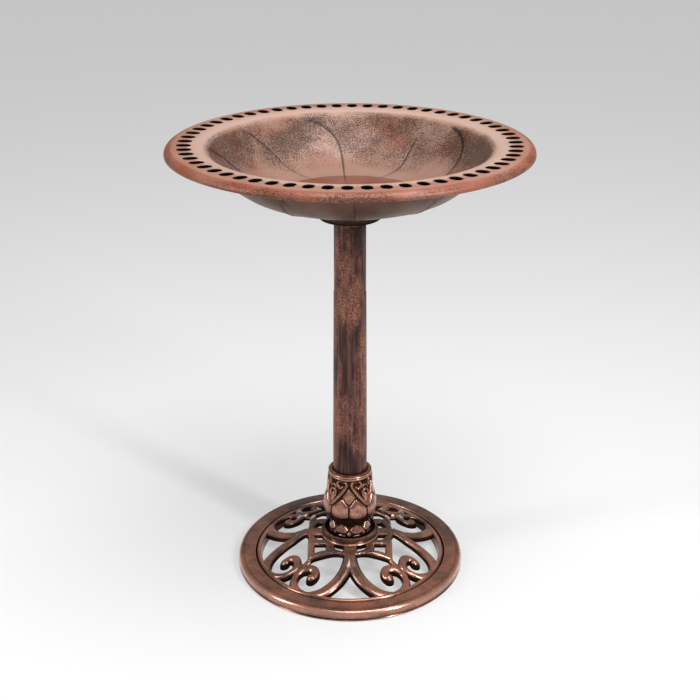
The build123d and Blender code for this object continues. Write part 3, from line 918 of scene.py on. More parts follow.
def press_petals(mesh):
    """Presses the petal lines into the wall: grooves inside, soft ridges underneath."""
    points = points_of(mesh)
    zone = np.zeros(len(points), np.float32)
    mesh.attributes["zone"].data.foreach_get("value", zone)
    radius = np.hypot(points[:, 0], points[:, 1])
    away, strength = petal_line_distance(points)
    groove = np.exp(-((away / 1.25) ** 2)) * strength
    puff = 1 - np.exp(-((away / 14.0) ** 2))
    limits = np.clip((radius - 58) / 18, 0, 1) * np.clip((203 - radius) / 8, 0, 1)
    inner = (zone < 0.45) * limits
    outer = (zone > 0.95) * limits
    slope = WALL_RISE * WALL_POWER / (THROAT_R - BOWL_PAD_R)
    share = np.clip((radius - BOWL_PAD_R) / (THROAT_R - BOWL_PAD_R), 0, 1)
    rise = slope * share ** (WALL_POWER - 1)
    length = np.hypot(1, rise)
    depth, fullness = sizes().petal_depth / MM, sizes().petal_puff / MM
    lift = inner * (fullness * puff * share - depth * groove)
    lift += outer * (0.6 * fullness * puff * share - 0.9 * depth * groove)
    hollow = (zone > 0.95) * UNDER_HOLLOW * np.clip((radius - 50) / 16, 0, 1)
    lift += hollow * np.clip((158 - radius) / 28, 0, 1)
    ways = points[:, :2] / np.maximum(radius, 1e-6)[:, None]
    points[:, 0] -= ways[:, 0] * lift * rise / length
    points[:, 1] -= ways[:, 1] * lift * rise / length
    points[:, 2] += lift / length
    move_points(mesh, points)
    store(mesh, "line", np.clip(1.5 * inner * groove + 1.2 * outer * groove, 0, 1))
    # Painted shade under the bowl near the boss
    shade_under_bowl = (zone > 0.95) * np.clip((134 - radius) / 14, 0, 0.9)
    dark = np.zeros(len(points), np.float32)
    mesh.attributes["dark"].data.foreach_get("value", dark)
    store(mesh, "dark", np.maximum(dark, shade_under_bowl))
    high_wall = np.clip((radius - 125) / 50, 0, 1) * np.clip((0.43 - zone) / 0.13, 0, 1)
    lip = np.clip((radius - (BOWL_R - 9)) / 6, 0, 1) * (zone > 0.62) * (zone < 0.9)
    store(mesh, "brushed", np.clip(high_wall + 0.7 * lip, 0, 1))


class BIRDBATH_OT_bowl(bpy.types.Operator):
    """Builds the slotted bowl with its petal lines"""

    bl_idname = "birdbath.bowl"
    bl_label = "Bowl"

    def execute(self, context):
        piece = bowl_sector()
        repeat_round(piece, sizes().slot_count, bowl_paint(), sizes().slot_turn)
        press_petals(piece.data)
        shade(piece, 40)
        settle(piece, "bowl", "bowl_resin", "bowl")
        return {"FINISHED"}


# ---------------------------------------------------------------- boss and screw joint
CORE_R = 13.7  # spigot under its thread
THREAD_RIDGE = 1.15
POCKET_R = 4.6  # pocket round a screw head


class BIRDBATH_OT_mount(bpy.types.Operator):
    """Builds the stepped boss under the bowl, its spigot and the thread"""

    bl_idname = "birdbath.mount"
    bl_label = "Bowl mount"

    def execute(self, context):
        step_z = PAD_Z - 12.0
        low_r = MOUNT_R - 2.0
        bore_r, bore_top = 11.2, PAD_Z - 8.0
        # Dark tones over the boss: painted shade under the bowl, with a painted highlight on the
        # step's edge
        rows = toned(0.22, (0, PAD_Z), (MOUNT_R - 0.5, PAD_Z))
        rows += toned(0.24, (MOUNT_R, PAD_Z - 0.6), (MOUNT_R, step_z + 2.2))
        rows += quarter_round(rows[-1], (MOUNT_R - 2.2, step_z), (0.4, 0.6, 0.36, 0.08), "z")
        rows += [(low_r - 1.4, step_z - 0.3, 0.0), (low_r - 1.2, step_z - 1.6, 0.05)]
        rows += [(low_r, step_z - 2.4, 0.28), (low_r, MOUNT_Z + 6.0, 0.2)]
        edge_tones = (0.14, 0.08, 0.08, 0.08, 0.1)
        rows += quarter_round(rows[-1], (low_r - 4.0, MOUNT_Z), edge_tones, "z")
        rows += toned(
            0.3, (CORE_R + 2.0, MOUNT_Z), (CORE_R, MOUNT_Z - 1.0), (CORE_R, SPIGOT_END_Z + 1.0),
            (CORE_R - 1.0, SPIGOT_END_Z), (bore_r, SPIGOT_END_Z),
            (bore_r, bore_top), (0, bore_top),
        )
        piece = turned_piece("bowl_boss", rows, boss_paint_in_shade(), closed=False)
        self.sink_screw_heads(piece)
        shade(piece)
        settle(piece, "bowl", "pole_resin", "bowl_mount")
        self.add_thread()
        return {"FINISHED"}

    def sink_screw_heads(self, piece):
        """Cuts a round pocket round each screw head."""
        head_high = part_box("mount_screws")[1]
        circle_r = math.hypot(head_high.x, head_high.y) - 5.6 * MM
        cutter = bmesh.new()
        for turn in range(45, 360, 90):
            a = math.radians(turn)
            place = (circle_r * math.cos(a), circle_r * math.sin(a), (MOUNT_Z + 1.0) * MM)
            bmesh.ops.create_cone(
                cutter, cap_ends=True, segments=32, radius1=POCKET_R * MM, radius2=POCKET_R * MM,
                depth=4.8 * MM, matrix=Matrix.Translation(place),
            )
        mesh = bpy.data.meshes.new("screw_pockets")
        cutter.to_mesh(mesh)
        cutter.free()
        tool = bpy.data.objects.new("screw_pockets", mesh)
        bpy.context.scene.collection.objects.link(tool)
        cut = piece.modifiers.new("Pockets", "BOOLEAN")
        cut.operation = "DIFFERENCE"
        cut.solver = "EXACT"
        cut.object = tool
        evaluated_mesh(piece, cut)
        bpy.data.objects.remove(tool)

    def add_thread(self):
        """Helical ridge on the spigot."""
        ridge = mesh_piece("bowl_thread", [(0, 0, 0)], [])
        lead = sizes().thread_lead
        grow(
            ridge,
            thread_tree(),
            Radius=(CORE_R + 0.1) * MM,
            Lead=lead,
            Turns=(MOUNT_Z - SPIGOT_END_Z) * MM / lead - 0.55,
            Ridge=THREAD_RIDGE * MM,
            Start_height=(SPIGOT_END_Z + 2.2) * MM,
            Material=boss_paint_in_shade(),
        )
        store(ridge.data, "relief", [0.45] * len(ridge.data.vertices))
        outward(ridge.data)
        shade(ridge, 60)
        settle(ridge, "bowl", "pole_resin")


class BIRDBATH_OT_socket(bpy.types.Operator):
    """Builds the flanged socket in the pole's top and the washer on it"""

    bl_idname = "birdbath.socket"
    bl_label = "Pole socket and washer"

    def execute(self, context):
        flange_r, washer_r = radius_of("pole_top_socket"), radius_of("slip_washer")
        body_r, bore_r, low = 20.7, 15.2, foot_of("pole_top_socket")
        floor_z, rounding, edge = low + 4.0, 0.8, 0.6
        # Tones: painted shade on the body and in the bore, painted highlight on the flange's rounded
        # edge
        rows = [(0, low, 0.4), (body_r, low, 0.4), (body_r, POLE_TOP_Z, 0.1)]
        rows += [(flange_r - rounding, POLE_TOP_Z, 0.1)]
        rows += quarter_round(rows[-1], (flange_r, POLE_TOP_Z + rounding), (0.3, 0.5, 0.8), "r")
        rows += [(flange_r, SOCKET_TOP_Z - rounding, 0.8)]
        rows += quarter_round(rows[-1], (flange_r - rounding, SOCKET_TOP_Z), (0.8, 0.6, 0.4), "z")
        rows += [(bore_r + edge, SOCKET_TOP_Z, 0.4), (bore_r, SOCKET_TOP_Z - edge, 0.2)]
        rows += [(bore_r, floor_z, 0.2), (0, floor_z, 0.1)]
        socket = turned_piece("pole_socket", rows, boss_paint_in_shade(), closed=False)
        settle(socket, "stand", "inner_resin", "pole_top_socket")
        plain = (0.5, 0.5, 0.5)
        rows = toned(0.5, (bore_r, SOCKET_TOP_Z), (washer_r - edge, SOCKET_TOP_Z))
        rows += quarter_round(rows[-1], (washer_r, SOCKET_TOP_Z + edge), plain, "r")
        rows += [(washer_r, MOUNT_Z - edge, 0.5)]
        rows += quarter_round(rows[-1], (washer_r - edge, MOUNT_Z), plain, "z")
        rows += [(bore_r, MOUNT_Z, 0.5)]
        washer = turned_piece("washer_ring", rows, inner_plastic())
        settle(washer, "slip_ring", "inner_resin", "slip_washer")
        return {"FINISHED"}


# ---------------------------------------------------------------- pole
POLE_WALL = 5.4
POLE_STRAIGHT = 131.0  # the lower section tapers above this height


class BIRDBATH_OT_pole(bpy.types.Operator):
    """Builds the two tapered pole sections and their seam"""

    bl_idname = "birdbath.pole"
    bl_label = "Pole"

    def execute(self, context):
        lower_r, upper_r = radius_of("lower_pole"), radius_of("upper_pole")
        bore_r, seam_r, top_r = lower_r - POLE_WALL, upper_r + 0.5, upper_r - 0.3
        straight_z = POLE_Z + POLE_STRAIGHT
        # Tones: painted shade where the pole enters the collar and at the seam, painted highlight on
        # the seam's rounded edge
        rows = [(bore_r, POLE_Z, 0.3), (lower_r, POLE_Z, 0.3), (lower_r, COLLAR_TOP_Z, 0.1)]
        rows += toned(0.5, (lower_r, COLLAR_TOP_Z + 4), (lower_r, straight_z))
        for z in np.linspace(straight_z, SEAM_Z - 1.2, 9)[1:]:
            share = (z - straight_z) / (SEAM_Z - straight_z)
            rows.append((lower_r + (seam_r - lower_r) * share, z, 0.5))
        rows += quarter_round(rows[-1], (seam_r - 1.2, SEAM_Z), (0.75, 0.8, 0.5, 0.1), "z")
        rows += [(bore_r, SEAM_Z, 0.1)]
        settle(turned_piece("pole_lower", rows, pole_paint()), "stand", "pole_resin", "lower_pole")
        rows = [(bore_r, SEAM_Z, 0.1), (upper_r - 1.0, SEAM_Z, 0.05)]
        rows += quarter_round(rows[-1], (upper_r, SEAM_Z + 1.0), (0.1, 0.2, 0.4, 0.5), "r")
        for z in np.linspace(SEAM_Z, POLE_TOP_Z, 6)[1:-1]:
            rows.append((upper_r - 0.3 * (z - SEAM_Z) / (POLE_TOP_Z - SEAM_Z), z, 0.5))
        rows += [(top_r, POLE_TOP_Z - 1.0, 0.5), (upper_r - 1.0, POLE_TOP_Z, 0.3)]
        rows += [(bore_r, POLE_TOP_Z, 0.1)]
        settle(turned_piece("pole_upper", rows, pole_paint()), "stand", "pole_resin", "upper_pole")
        return {"FINISHED"}


# ---------------------------------------------------------------- leaf collar
COLLAR_PROFILE = [
    (30.6, 0), (31.4, 3), (31.6, 7), (30.4, 12), (28.6, 16), (27.4, 20), (27.8, 23.5),
    (30.8, 25.6), (33.6, 27.4), (35.8, 31), (37.6, 36), (38.7, 43), (38.9, 50), (38.3, 58),
    (37.0, 68), (35.2, 78), (33.6, 88), (32.5, 96), (32.2, 101), (31.8, 104.5),
]
MM_PER_DEGREE = 0.62  # arc length on the belly of the collar
BOLT_HOLE_R = 4.4


def collar_shapes():
    """Leaves and scrolls of one quarter of the collar, as (kind, outline, crown width,
    height). Outlines are (degrees from the quarter's middle, height above the foot)."""
    return [
        ("leaf", [(0.9, 45), (0.9, 62.5), (7, 67.5), (15, 74.5), (18.5, 75), (27, 70), (36, 64),
                  (43.4, 58), (44.1, 47), (39, 43.0), (23, 41.0), (6, 42.6)], 8.0, 1.2),
        ("leaf", [(0, 65), (9, 71.5), (16.5, 78.5), (9, 85), (0, 92), (-9, 85), (-16.5, 78.5),
                  (-9, 71.5)], 5.0, 0.62),
        ("band", [(6.0, 98.5, 2.4), (10, 93.5, 2.5), (18, 86, 2.7), (29, 76.5, 2.8),
                  (38, 68, 2.5), (44, 63, 2.0)], 2.8, 1.0),
        ("band", [(6.0, 98.5, 2.2), (9, 102.5, 2.2), (16, 104.8, 2.2), (24.5, 105, 2.1),
                  (31.5, 101.5, 2.1),
                  (32.5, 97, 2.1), (28, 93.6, 2.0), (22, 93.2, 1.9), (18, 95.6, 1.8)], 2.2, 1.0),
        ("band", [(37, 78, 1.6), (36.5, 83, 1.8), (38, 87, 1.8), (42, 89, 1.8), (45, 89, 1.8)],
         1.8, 0.9),
        ("band", [(45, 96.5, 1.7), (40, 96.0, 1.7), (37, 93.0, 1.6)], 1.6, 0.85),
        ("leaf", [(45, 65), (39.5, 71), (38, 77), (41, 82), (45, 83.5), (49, 82), (52, 77),
                  (50.5, 71)], 3.0, 0.6),
        ("leaf", [(1.2, 15.6), (11, 20.5), (20, 24.0), (24, 24.0), (34, 21), (44, 17), (44, 13),
                  (33, 9.4), (20, 9.0), (8, 11.0)], 4.2, 1.0),
        ("leaf", [(0, 13.6), (6, 9.5), (5, 5.5), (-5, 5.5), (-6, 9.5)], 2.4, 0.6),
        ("leaf", [(39, 9.5), (45, 14), (51, 9.5), (50, 5.5), (40, 5.5)], 2.4, 0.6),
        ("leaf", [(10, 6.5), (21, 7.6), (33, 6.5), (31, 4), (12, 4)], 1.6, 0.4),
    ]


def collar_relief(degrees, heights):
    """Relief share (0 in the grooves, about 1 on the leaves) on a grid of the collar."""
    folded = np.abs(degrees) * MM_PER_DEGREE
    level = np.zeros(folded.shape)
    depth_all = np.full(folded.shape, -9.0)
    for kind, outline, width, height in collar_shapes():
        scaled = [(p[0] * MM_PER_DEGREE, *p[1:]) for p in outline]
        if kind == "leaf":
            path = [tuple(p) for p in scaled]
            depth = polygon_depth(folded, heights, path)
        else:
            depth, _ = band_depth(folded, heights, smooth_path(scaled, 6))
        level = np.maximum(level, height * crown(depth, width) * (depth > 0))
        depth_all = np.maximum(depth_all, depth)
    return level, depth_all


class BIRDBATH_OT_collar(bpy.types.Operator):
    """Builds the leaf collar that the pole stands in"""

    bl_idname = "birdbath.collar"
    bl_label = "Leaf collar"

    def execute(self, context):
        columns, rows = 88, 200
        outline = smooth_path(COLLAR_PROFILE, 12)
        heights = np.linspace(0, COLLAR_PROFILE[-1][1], rows)
        base_r = np.interp(heights, outline[:, 1], outline[:, 0])
        degrees = np.linspace(-45, 45, columns + 1)
        turn_grid, height_grid = np.meshgrid(degrees, heights)
        level, depth = collar_relief(turn_grid, height_grid)
        soft_ends = np.clip(height_grid / 4, 0, 1)
        radius = base_r[:, None] + level * soft_ends * sizes().relief / MM
        # Painted shade in the grooves between the leaves: the tone falls to near black at their
        # edges
        tone = np.clip(0.08 + 0.5 * np.clip(depth, 0, 1.6) / 1.6, 0, 1)
        # Painted highlight on the upper edges of the leaves, where they face up
        tip = np.clip((depth > 0.25) * (1.7 - depth) / 1.2, 0, 1) * (depth < 1.7)
        up_facing_highlight = np.clip(np.gradient(level, axis=0) * -6, 0, 1)
        tone = np.clip(tone + 0.55 * tip * up_facing_highlight, 0, 1)
        # Painted shadow round the neck under the belly
        neck_shadow = np.exp(-(((height_grid - 38) / 4.5) ** 2))
        tone = tone * (1 - 0.75 * neck_shadow)
        around = np.radians(turn_grid) - math.pi / 2
        x, y = radius * np.cos(around), radius * np.sin(around)
        outer = np.stack([x, y, COLLAR_Z + height_grid], -1)
        bead = self.bead_and_bore()
        lathe = np.array(
            [[(r * math.cos(a), r * math.sin(a), z) for a in around[0]] for r, z, _ in bead]
        )
        points = np.vstack([outer.reshape(-1, 3), lathe.reshape(-1, 3)])
        tones = np.concatenate([tone.ravel(), np.repeat([t for _, _, t in bead], columns + 1)])
        faces = grid_faces(rows + len(bead), columns + 1)
        last = (rows + len(bead) - 1) * (columns + 1)
        faces += [(last + c, last + c + 1, c + 1, c) for c in range(columns)]
        piece = mesh_piece("collar_leaves", points, faces, {"relief": tones})
        repeat_round(piece, 4, collar_paint(), sizes().collar_turn)
        shade(piece, 50)
        settle(piece, "stand", "foot_resin", "leaf_collar")
        return {"FINISHED"}

    def bead_and_bore(self):
        """Rows (radius, height, tone) of the top bead, the socket and the bolt hole."""
        bead_z = COLLAR_TOP_Z - 8.5
        bore_r, hole_r, hollow_r = radius_of("lower_pole") + 0.25, BOLT_HOLE_R, 20.0
        rows = [(31.8, bead_z - 0.8, 0.0), (32.4, bead_z, 0.1)]
        # Painted highlight on the top of each bead and painted shade at its foot
        for low, bulge in ((0.3, 1.3), (4.1, 1.6)):
            for i, tone in enumerate((0.45, 0.95, 1.0, 0.7, 0.1)):
                a = math.pi * (i + 0.5) / 5
                height = bead_z + low + 1.7 * (1 - math.cos(a))
                rows.append((32.6 + bulge * math.sin(a), height, tone))
        rows += [(32.4, COLLAR_TOP_Z - 0.4, 0.4), (31.6, COLLAR_TOP_Z, 0.5)]
        rows += [(bore_r + 1.2, COLLAR_TOP_Z, 0.35)]
        # Painted shade inside the socket and the hollow
        rows += toned(0.05, (bore_r, COLLAR_TOP_Z - 1.2), (bore_r, POLE_Z), (hole_r, POLE_Z))
        rows += toned(0.1, (hole_r, POLE_Z - 6), (hollow_r, POLE_Z - 6), (hollow_r, COLLAR_Z))
        return rows


class BIRDBATH_OT_cup(bpy.types.Operator):
    """Builds the round cup between the collar and the foot"""

    bl_idname = "birdbath.cup"
    bl_label = "Hub cup"

    def execute(self, context):
        low, inner_r = foot_of("hub_cup"), CUP_R - 6.2
        # Tones: painted highlights on the lower outer edge and the lip, a darker outer slope, black
        # painted shade inside the cup
        rows = [
            (BOLT_HOLE_R, low, 0.0), (CUP_R - 0.8, low, 0.3), (CUP_R, low + 0.8, 0.9),
            (CUP_R, low + 1.8, 1.0), (CUP_R - 0.7, low + 2.6, 0.6), (CUP_R - 1.6, low + 3.2, 0.12),
            (CUP_R - 3.6, low + 5.4, 0.16), (inner_r + 1.2, CUP_TOP_Z - 0.2, 0.24),
            (inner_r + 0.4, CUP_TOP_Z, 0.42), (inner_r - 0.4, CUP_TOP_Z - 0.8, 0.2),
            (inner_r - 0.8, CUP_TOP_Z - 2.4, 0.03), (inner_r - 1.4, COLLAR_Z + 1.0, 0.0),
            (inner_r - 2.4, COLLAR_Z, 0.0), (BOLT_HOLE_R, COLLAR_Z, 0.0),
        ]
        settle(turned_piece("cup_dish", rows, collar_paint()), "stand", "foot_resin", "hub_cup")
        return {"FINISHED"}


# ---------------------------------------------------------------- foot
RING_IN_R = BASE_R - 38.0
RING_H = 17.0
LOBE_EXTREME = 70.4
LOBE_R = 45.2
ROSETTE_HALF = 67.0
CORNER_WINDOW = 16.6
CORNER_MID = 47.2
HUB_FLAT_R = 72.0
PLATE_T = 6.6
EDGE_DROP = 7.6  # fall of a rib's crowned section from its crest to its edges


def dome(radius):
    """Height of the foot's openwork before its ribs are crowned."""
    radii = [0, HUB_FLAT_R, 80, 90, 110, RING_IN_R + 6]
    return np.interp(radius, radii, [HUB_TOP_Z, HUB_TOP_Z, 41.5, 35.5, 27.5, 14.5])


def motif_point(reach, angle, half=None):
    """Point of the openwork: reach runs 0 to 1 from the lobes to the ring, and angle, in
    degrees, is measured from the motif's diagonal."""
    radius = LOBE_EXTREME + reach * (RING_IN_R + 4.5 - LOBE_EXTREME)
    place = (radius * math.cos(math.radians(angle)), radius * math.sin(math.radians(angle)))
    return place if half is None else place + (half,)


def foot_parts(u, v):
    """Parts of the openwork at points in the motif's own axes (u outwards along the diagonal,
    v across it). Each is (depth inside, half width there, crest above the dome, edge drop)."""
    half = sizes().strap_width / MM / 2
    rib = [(-0.08, 44.6, 0.92), (0.14, 42.4, 0.94), (0.38, 38.6, 1.0), (0.63, 33.2, 1.0)]
    rib += [(0.86, 26.9, 1.0), (0.99, 20.5, 0.9), (1.03, 14.5, 0.7)]
    rib = [motif_point(reach, angle, half * share) for reach, angle, share in rib]
    hook = [(1.03, 17.0, 7.0), (0.985, 10.8, 6.9), (0.87, 5.4, 6.7), (0.72, 2.9, 6.6)]
    hook += [(0.56, 3.2, 7.0), (0.455, 7.2, 7.5), (0.435, 12.0, 7.6), (0.5, 15.4, 7.3)]
    hook += [(0.59, 15.9, 6.8), (0.645, 14.9, 6.0)]
    hook = [motif_point(*place) for place in hook]
    stub = ((0.16, 6.0), (0.3, 5.6), (0.5, 6.2), (0.6, 5.0))
    stub = [motif_point(reach, 0, wide) for reach, wide in stub]
    tip_u, tip_v = motif_point(0.632, 14.6)
    tip = 8.2 - np.hypot(u - tip_u, np.abs(v) - tip_v)
    parts = [(tip, 8.2, 5.2, 9.0)]
    for path, crest, drop in ((rib, 1.8, EDGE_DROP), (hook, 3.4, 7.4), (stub, -2.4, 4.5)):
        depth, width = band_depth(u, v, smooth_path(path, 8))
        parts.append((depth, width, crest, drop))
    return parts


def rosette_depth(x, y):
    """Depth inside the rosette's frame and hub, seen from above."""
    ax, ay = np.maximum(np.abs(x), np.abs(y)), np.minimum(np.abs(x), np.abs(y))
    corner = 5.0
    qx, qy = ax - (ROSETTE_HALF - corner), ay - (ROSETTE_HALF - corner)
    outside = np.hypot(np.maximum(qx, 0), np.maximum(qy, 0)) + np.minimum(np.maximum(qx, qy), 0)
    from_lobe = np.hypot(ax - (LOBE_EXTREME - LOBE_R), ay)
    plan = np.maximum(corner - outside, LOBE_R - from_lobe)
    lobe_window = np.minimum.reduce([ay - 11.5, 24.0 - ay, LOBE_R - 11.0 - from_lobe, ax - 38.0])
    side = CORNER_WINDOW / 2 - np.maximum(np.abs(ax - CORNER_MID), np.abs(ay - CORNER_MID))
    return np.minimum(plan, -np.maximum(lobe_window, side))


def foot_field(x, y):
    """Depth inside the openwork's plan, the height of its upper face and how near the crest of
    its section a point is."""
    ax, ay = np.maximum(np.abs(x), np.abs(y)), np.minimum(np.abs(x), np.abs(y))
    u, v = (ax + ay) / math.sqrt(2), (ax - ay) / math.sqrt(2)
    radius = np.hypot(x, y)
    ground = dome(radius)
    hub = CUP_R - 0.4 - radius
    frame_depth = rosette_depth(x, y)
    bar = 4.2
    lifted = ground + 1.2 - 6.6 + 6.6 * crown(frame_depth, bar)
    lifted = np.where(frame_depth > 0, lifted, ground - 5.8 + 2.0 * frame_depth)
    # a shallow line where the lobe's rim crosses the square
    arc = np.abs(np.hypot(ax - (LOBE_EXTREME - LOBE_R), ay) - LOBE_R)
    inside_square = (ax < ROSETTE_HALF - 2) & (frame_depth > 0)
    lifted = lifted - 1.6 * np.exp(-((arc / 1.3) ** 2)) * inside_square * (ay > 20)
    height = np.where(hub > 0, ground, lifted)
    plan = np.maximum.reduce([frame_depth, hub, radius - (RING_IN_R + 0.4)])
    height = np.maximum(height, np.where(radius > RING_IN_R + 0.4, ground - 3.0, -50))
    crest_share = np.clip(frame_depth / bar, 0, 1)
    for depth, width, crest, drop in foot_parts(u, v):
        plan = soft_max(plan, depth, 1.2)
        edge = ground + crest - drop
        raised = np.where(depth > 0, edge + drop * crown(depth, width), edge + 2.0 * depth)
        height = soft_max(height, raised, 0.8)
        crest_share = np.maximum(crest_share, np.clip(depth / width, 0, 1))
    return plan, height, crest_share


def openwork_quarter():
    """Quarter of the openwork as a closed slab on a square grid whose edge points are drawn
    on to the plan's outline."""
    step = sizes().foot_step / MM
    reach = RING_IN_R + 5.5
    count = int(reach / step)
    step = reach / count
    line = np.arange(count + 1) * step
    x, y = np.meshgrid(line, line)
    middle = line[:-1] + step / 2
    mx, my = np.meshgrid(middle, middle)
    kept = (foot_field(mx, my)[0] > 0) & (np.hypot(mx, my) < reach - step * 0.4)
    corners = np.zeros((count + 1, count + 1), int)
    for dr in (0, 1):
        for dc in (0, 1):
            corners[dr : dr + count, dc : dc + count] += kept
    edge = (corners > 0) & (corners < 4)
    on_axis_x, on_axis_y = x < step / 2, y < step / 2
    edge &= ~((on_axis_x | on_axis_y) & (corners == 2) & self_paired(kept, on_axis_x, on_axis_y))
    px, py = x.copy(), y.copy()
    nudge = 0.05
    for _ in range(3):
        field = foot_field(px, py)[0]
        gx = (foot_field(px + nudge, py)[0] - foot_field(px - nudge, py)[0]) / (2 * nudge)
        gy = (foot_field(px, py + nudge)[0] - foot_field(px, py - nudge)[0]) / (2 * nudge)
        size = np.maximum(gx * gx + gy * gy, 0.2)
        near_ring = np.hypot(px, py) > RING_IN_R + 2
        move = np.where(edge & ~near_ring, np.clip(field, -step, step) / size, 0)
        px = px - move * gx * ~on_axis_x
        py = py - move * gy * ~on_axis_y
    _, height, share = foot_field(px, py)
    radius = np.hypot(px, py)
    under = dome(radius) - PLATE_T
    top = np.maximum(height, under + 1.0)
    number = np.full(corners.shape, -1)
    used = corners > 0
    number[used] = np.arange(used.sum())
    total = int(used.sum())
    points = np.vstack(
        [np.stack([px[used], py[used], level[used]], -1) for level in (top, under + 0.8, under)]
    )
    # Painted shade: the underside and the upright sides are toned near black
    tones = np.concatenate([rib_shade_and_highlight(share[used]), np.full(total, 0.02), np.full(total, 0.02)])
    faces = []
    rows, columns = np.nonzero(kept)
    for r, c in zip(rows, columns):
        a, b = number[r, c], number[r, c + 1]
        d, e = number[r + 1, c], number[r + 1, c + 1]
        faces.append((a, b, e, d))
        faces.append((a + 2 * total, d + 2 * total, e + 2 * total, b + 2 * total))
    faces += wall_faces(kept, number, total, count)
    return points, faces, tones


def self_paired(kept, on_axis_x, on_axis_y):
    """Grid points on a cut line whose outline does not cross there."""
    count = kept.shape[0]
    paired = np.zeros(on_axis_x.shape, bool)
    paired[1:count, 0] = kept[1:, 0] & kept[:-1, 0]
    paired[0, 1:count] = kept[0, 1:] & kept[0, :-1]
    return paired


def wall_faces(kept, number, total, count):
    """Upright faces round the openwork, two rows deep, except along the quarter's cuts."""
    walls = []

    def wall(a, b):
        for level in (0, 1):
            shift = level * total
            walls.append((b + shift, a + shift, a + shift + total, b + shift + total))

    for r, c in zip(*np.nonzero(kept)):
        if r > 0 and not kept[r - 1, c]:
            wall(number[r, c], number[r, c + 1])
        if r == count - 1 or not kept[r + 1, c]:
            wall(number[r + 1, c + 1], number[r + 1, c])
        if c > 0 and not kept[r, c - 1]:
            wall(number[r + 1, c], number[r, c])
        if c == count - 1 or not kept[r, c + 1]:
            wall(number[r, c + 1], number[r + 1, c + 1])
    return walls


def rib_shade_and_highlight(share):
    """Paint tone across a rib: black painted shade at the foot of its side, a painted highlight on
    the shoulder above it and plain on the crest."""
    return np.interp(share, [0, 0.16, 0.3, 0.46, 0.7, 1.0], [0.0, 0.04, 0.35, 0.7, 0.66, 0.62])


class BIRDBATH_OT_foot(bpy.types.Operator):
    """Builds the openwork foot: ribs, scrolls, rosette and the ring round them"""

    bl_idname = "birdbath.foot"
    bl_label = "Foot"

    def execute(self, context):
        points, faces, tones = openwork_quarter()
        piece = mesh_piece("foot_openwork", points, faces, {"relief": tones})
        repeat_round(piece, 4, foot_paint())
        shade(piece, 48)
        settle(piece, "stand", "foot_resin", "base_plate")
        ring = turned_piece("foot_ring", self.ring_rows(), foot_paint())
        settle(ring, "stand", "foot_resin", "base_plate")
        return {"FINISHED"}

    def ring_rows(self):
        """Rows of the ring's section, with its beaded inner edge and rolled outer edge, toned with
        painted highlights and painted shade.
        """
        wall = 5.0
        rows = [(RING_IN_R, 0, 0.1), (RING_IN_R, RING_H - 5, 0.15)]
        # Painted highlight along the top of the inner bead, painted shade at its foot and in the
        # groove beyond
        for i, tone in enumerate((0.3, 0.6, 0.9, 1.0, 0.9, 0.6, 0.45, 0.2, 0.0), 1):
            a = math.pi * i / 10
            bead = (RING_IN_R + 4.4 * (1 - math.cos(a)), RING_H - 5 + 5.6 * math.sin(a))
            rows.append((*bead, tone))
        groove_r = RING_IN_R + 9.2
        rows += toned(0.0, (groove_r, RING_H - 5.0), (groove_r + 0.8, RING_H - 3.6))
        rows += quarter_round(rows[-1], (groove_r + 2.8, RING_H), (0.3, 0.8, 0.85, 0.6), "z")
        rows += toned(0.5, (groove_r + 5, RING_H + 0.2), (BASE_R - 10, RING_H + 0.2))
        rows += [(BASE_R - 9, RING_H - 0.3, 0.25), (BASE_R - 8.2, RING_H - 0.3, 0.3)]
        # Painted highlight across the middle of the rolled outer edge, painted shade in the groove
        # and at the foot of the skirt
        roll = (0.45, 0.6, 0.8, 0.95, 1.0, 0.9, 0.6, 0.4)
        rows += quarter_round(rows[-1], (BASE_R, RING_H - 9.0), roll, "r")
        rows += [(BASE_R - 0.1, 5.2, 0.3), (BASE_R - 1.3, 3.8, 0.0), (BASE_R - 1.3, 3.2, 0.0)]
        rows += [(BASE_R - 0.2, 2.2, 0.5), (BASE_R - 0.2, 1.0, 0.6), (BASE_R - 1.4, 0, 0.1)]
        rows += [(BASE_R - wall, 0, 0.1), (BASE_R - wall, RING_H - wall, 0.05)]
        rows += toned(0.05, (RING_IN_R + wall, RING_H - 2 * wall), (RING_IN_R + wall, 0))
        return rows


# ---------------------------------------------------------------- fastenings and stage
class BIRDBATH_OT_fastenings(bpy.types.Operator):
    """Paints the hidden pieces and the fasteners that are shown as they are"""

    bl_idname = "birdbath.fastenings"
    bl_label = "Fastenings"

    def execute(self, context):
        finishes = {
            zinc_plate(): ("base_bolt", "base_washer", "base_nut", "mount_screws"),
            inner_plastic(): ("pole_sleeve", "pole_foot_plug"),
        }
        for finish, nodes in finishes.items():
            for name in nodes:
                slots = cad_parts[name].data.materials
                slots.clear()
                slots.append(finish)
        return {"FINISHED"}


CAMERA_PLACE = (0.0, -1.692, 1.1035)
CAMERA_PITCH = 23.6  # degrees below level
CAMERA_LENS = 63.0
SENSOR = 36.0
WORLD_LIGHT = 0.2
FLOOR_GLOW = 0.46
FLOOR_HALF = 12.0
# name, place, aim, width and height in metres, power in watts
LIGHTS = (
    ("top_light", (0.3, -0.45, 2.5), (0, 0, 0.35), (1.5, 1.1), 46),
    ("key_light", (1.3, -1.2, 1.6), (0, 0, 0.3), (0.18, 0.9), 26),
    ("side_light", (-1.7, -0.6, 1.3), (0, 0, 0.3), (0.3, 1.2), 15),
)


def area_light(name, place, aim, size, power):
    light = bpy.data.lights.new(name, "AREA")
    light.shape = "RECTANGLE"
    light.size, light.size_y = size
    light.energy = power
    lamp = bpy.data.objects.new(name, light)
    lamp.location = place
    lamp.rotation_euler = (Vector(aim) - Vector(place)).to_track_quat("-Z", "Y").to_euler()
    bpy.context.scene.collection.objects.link(lamp)


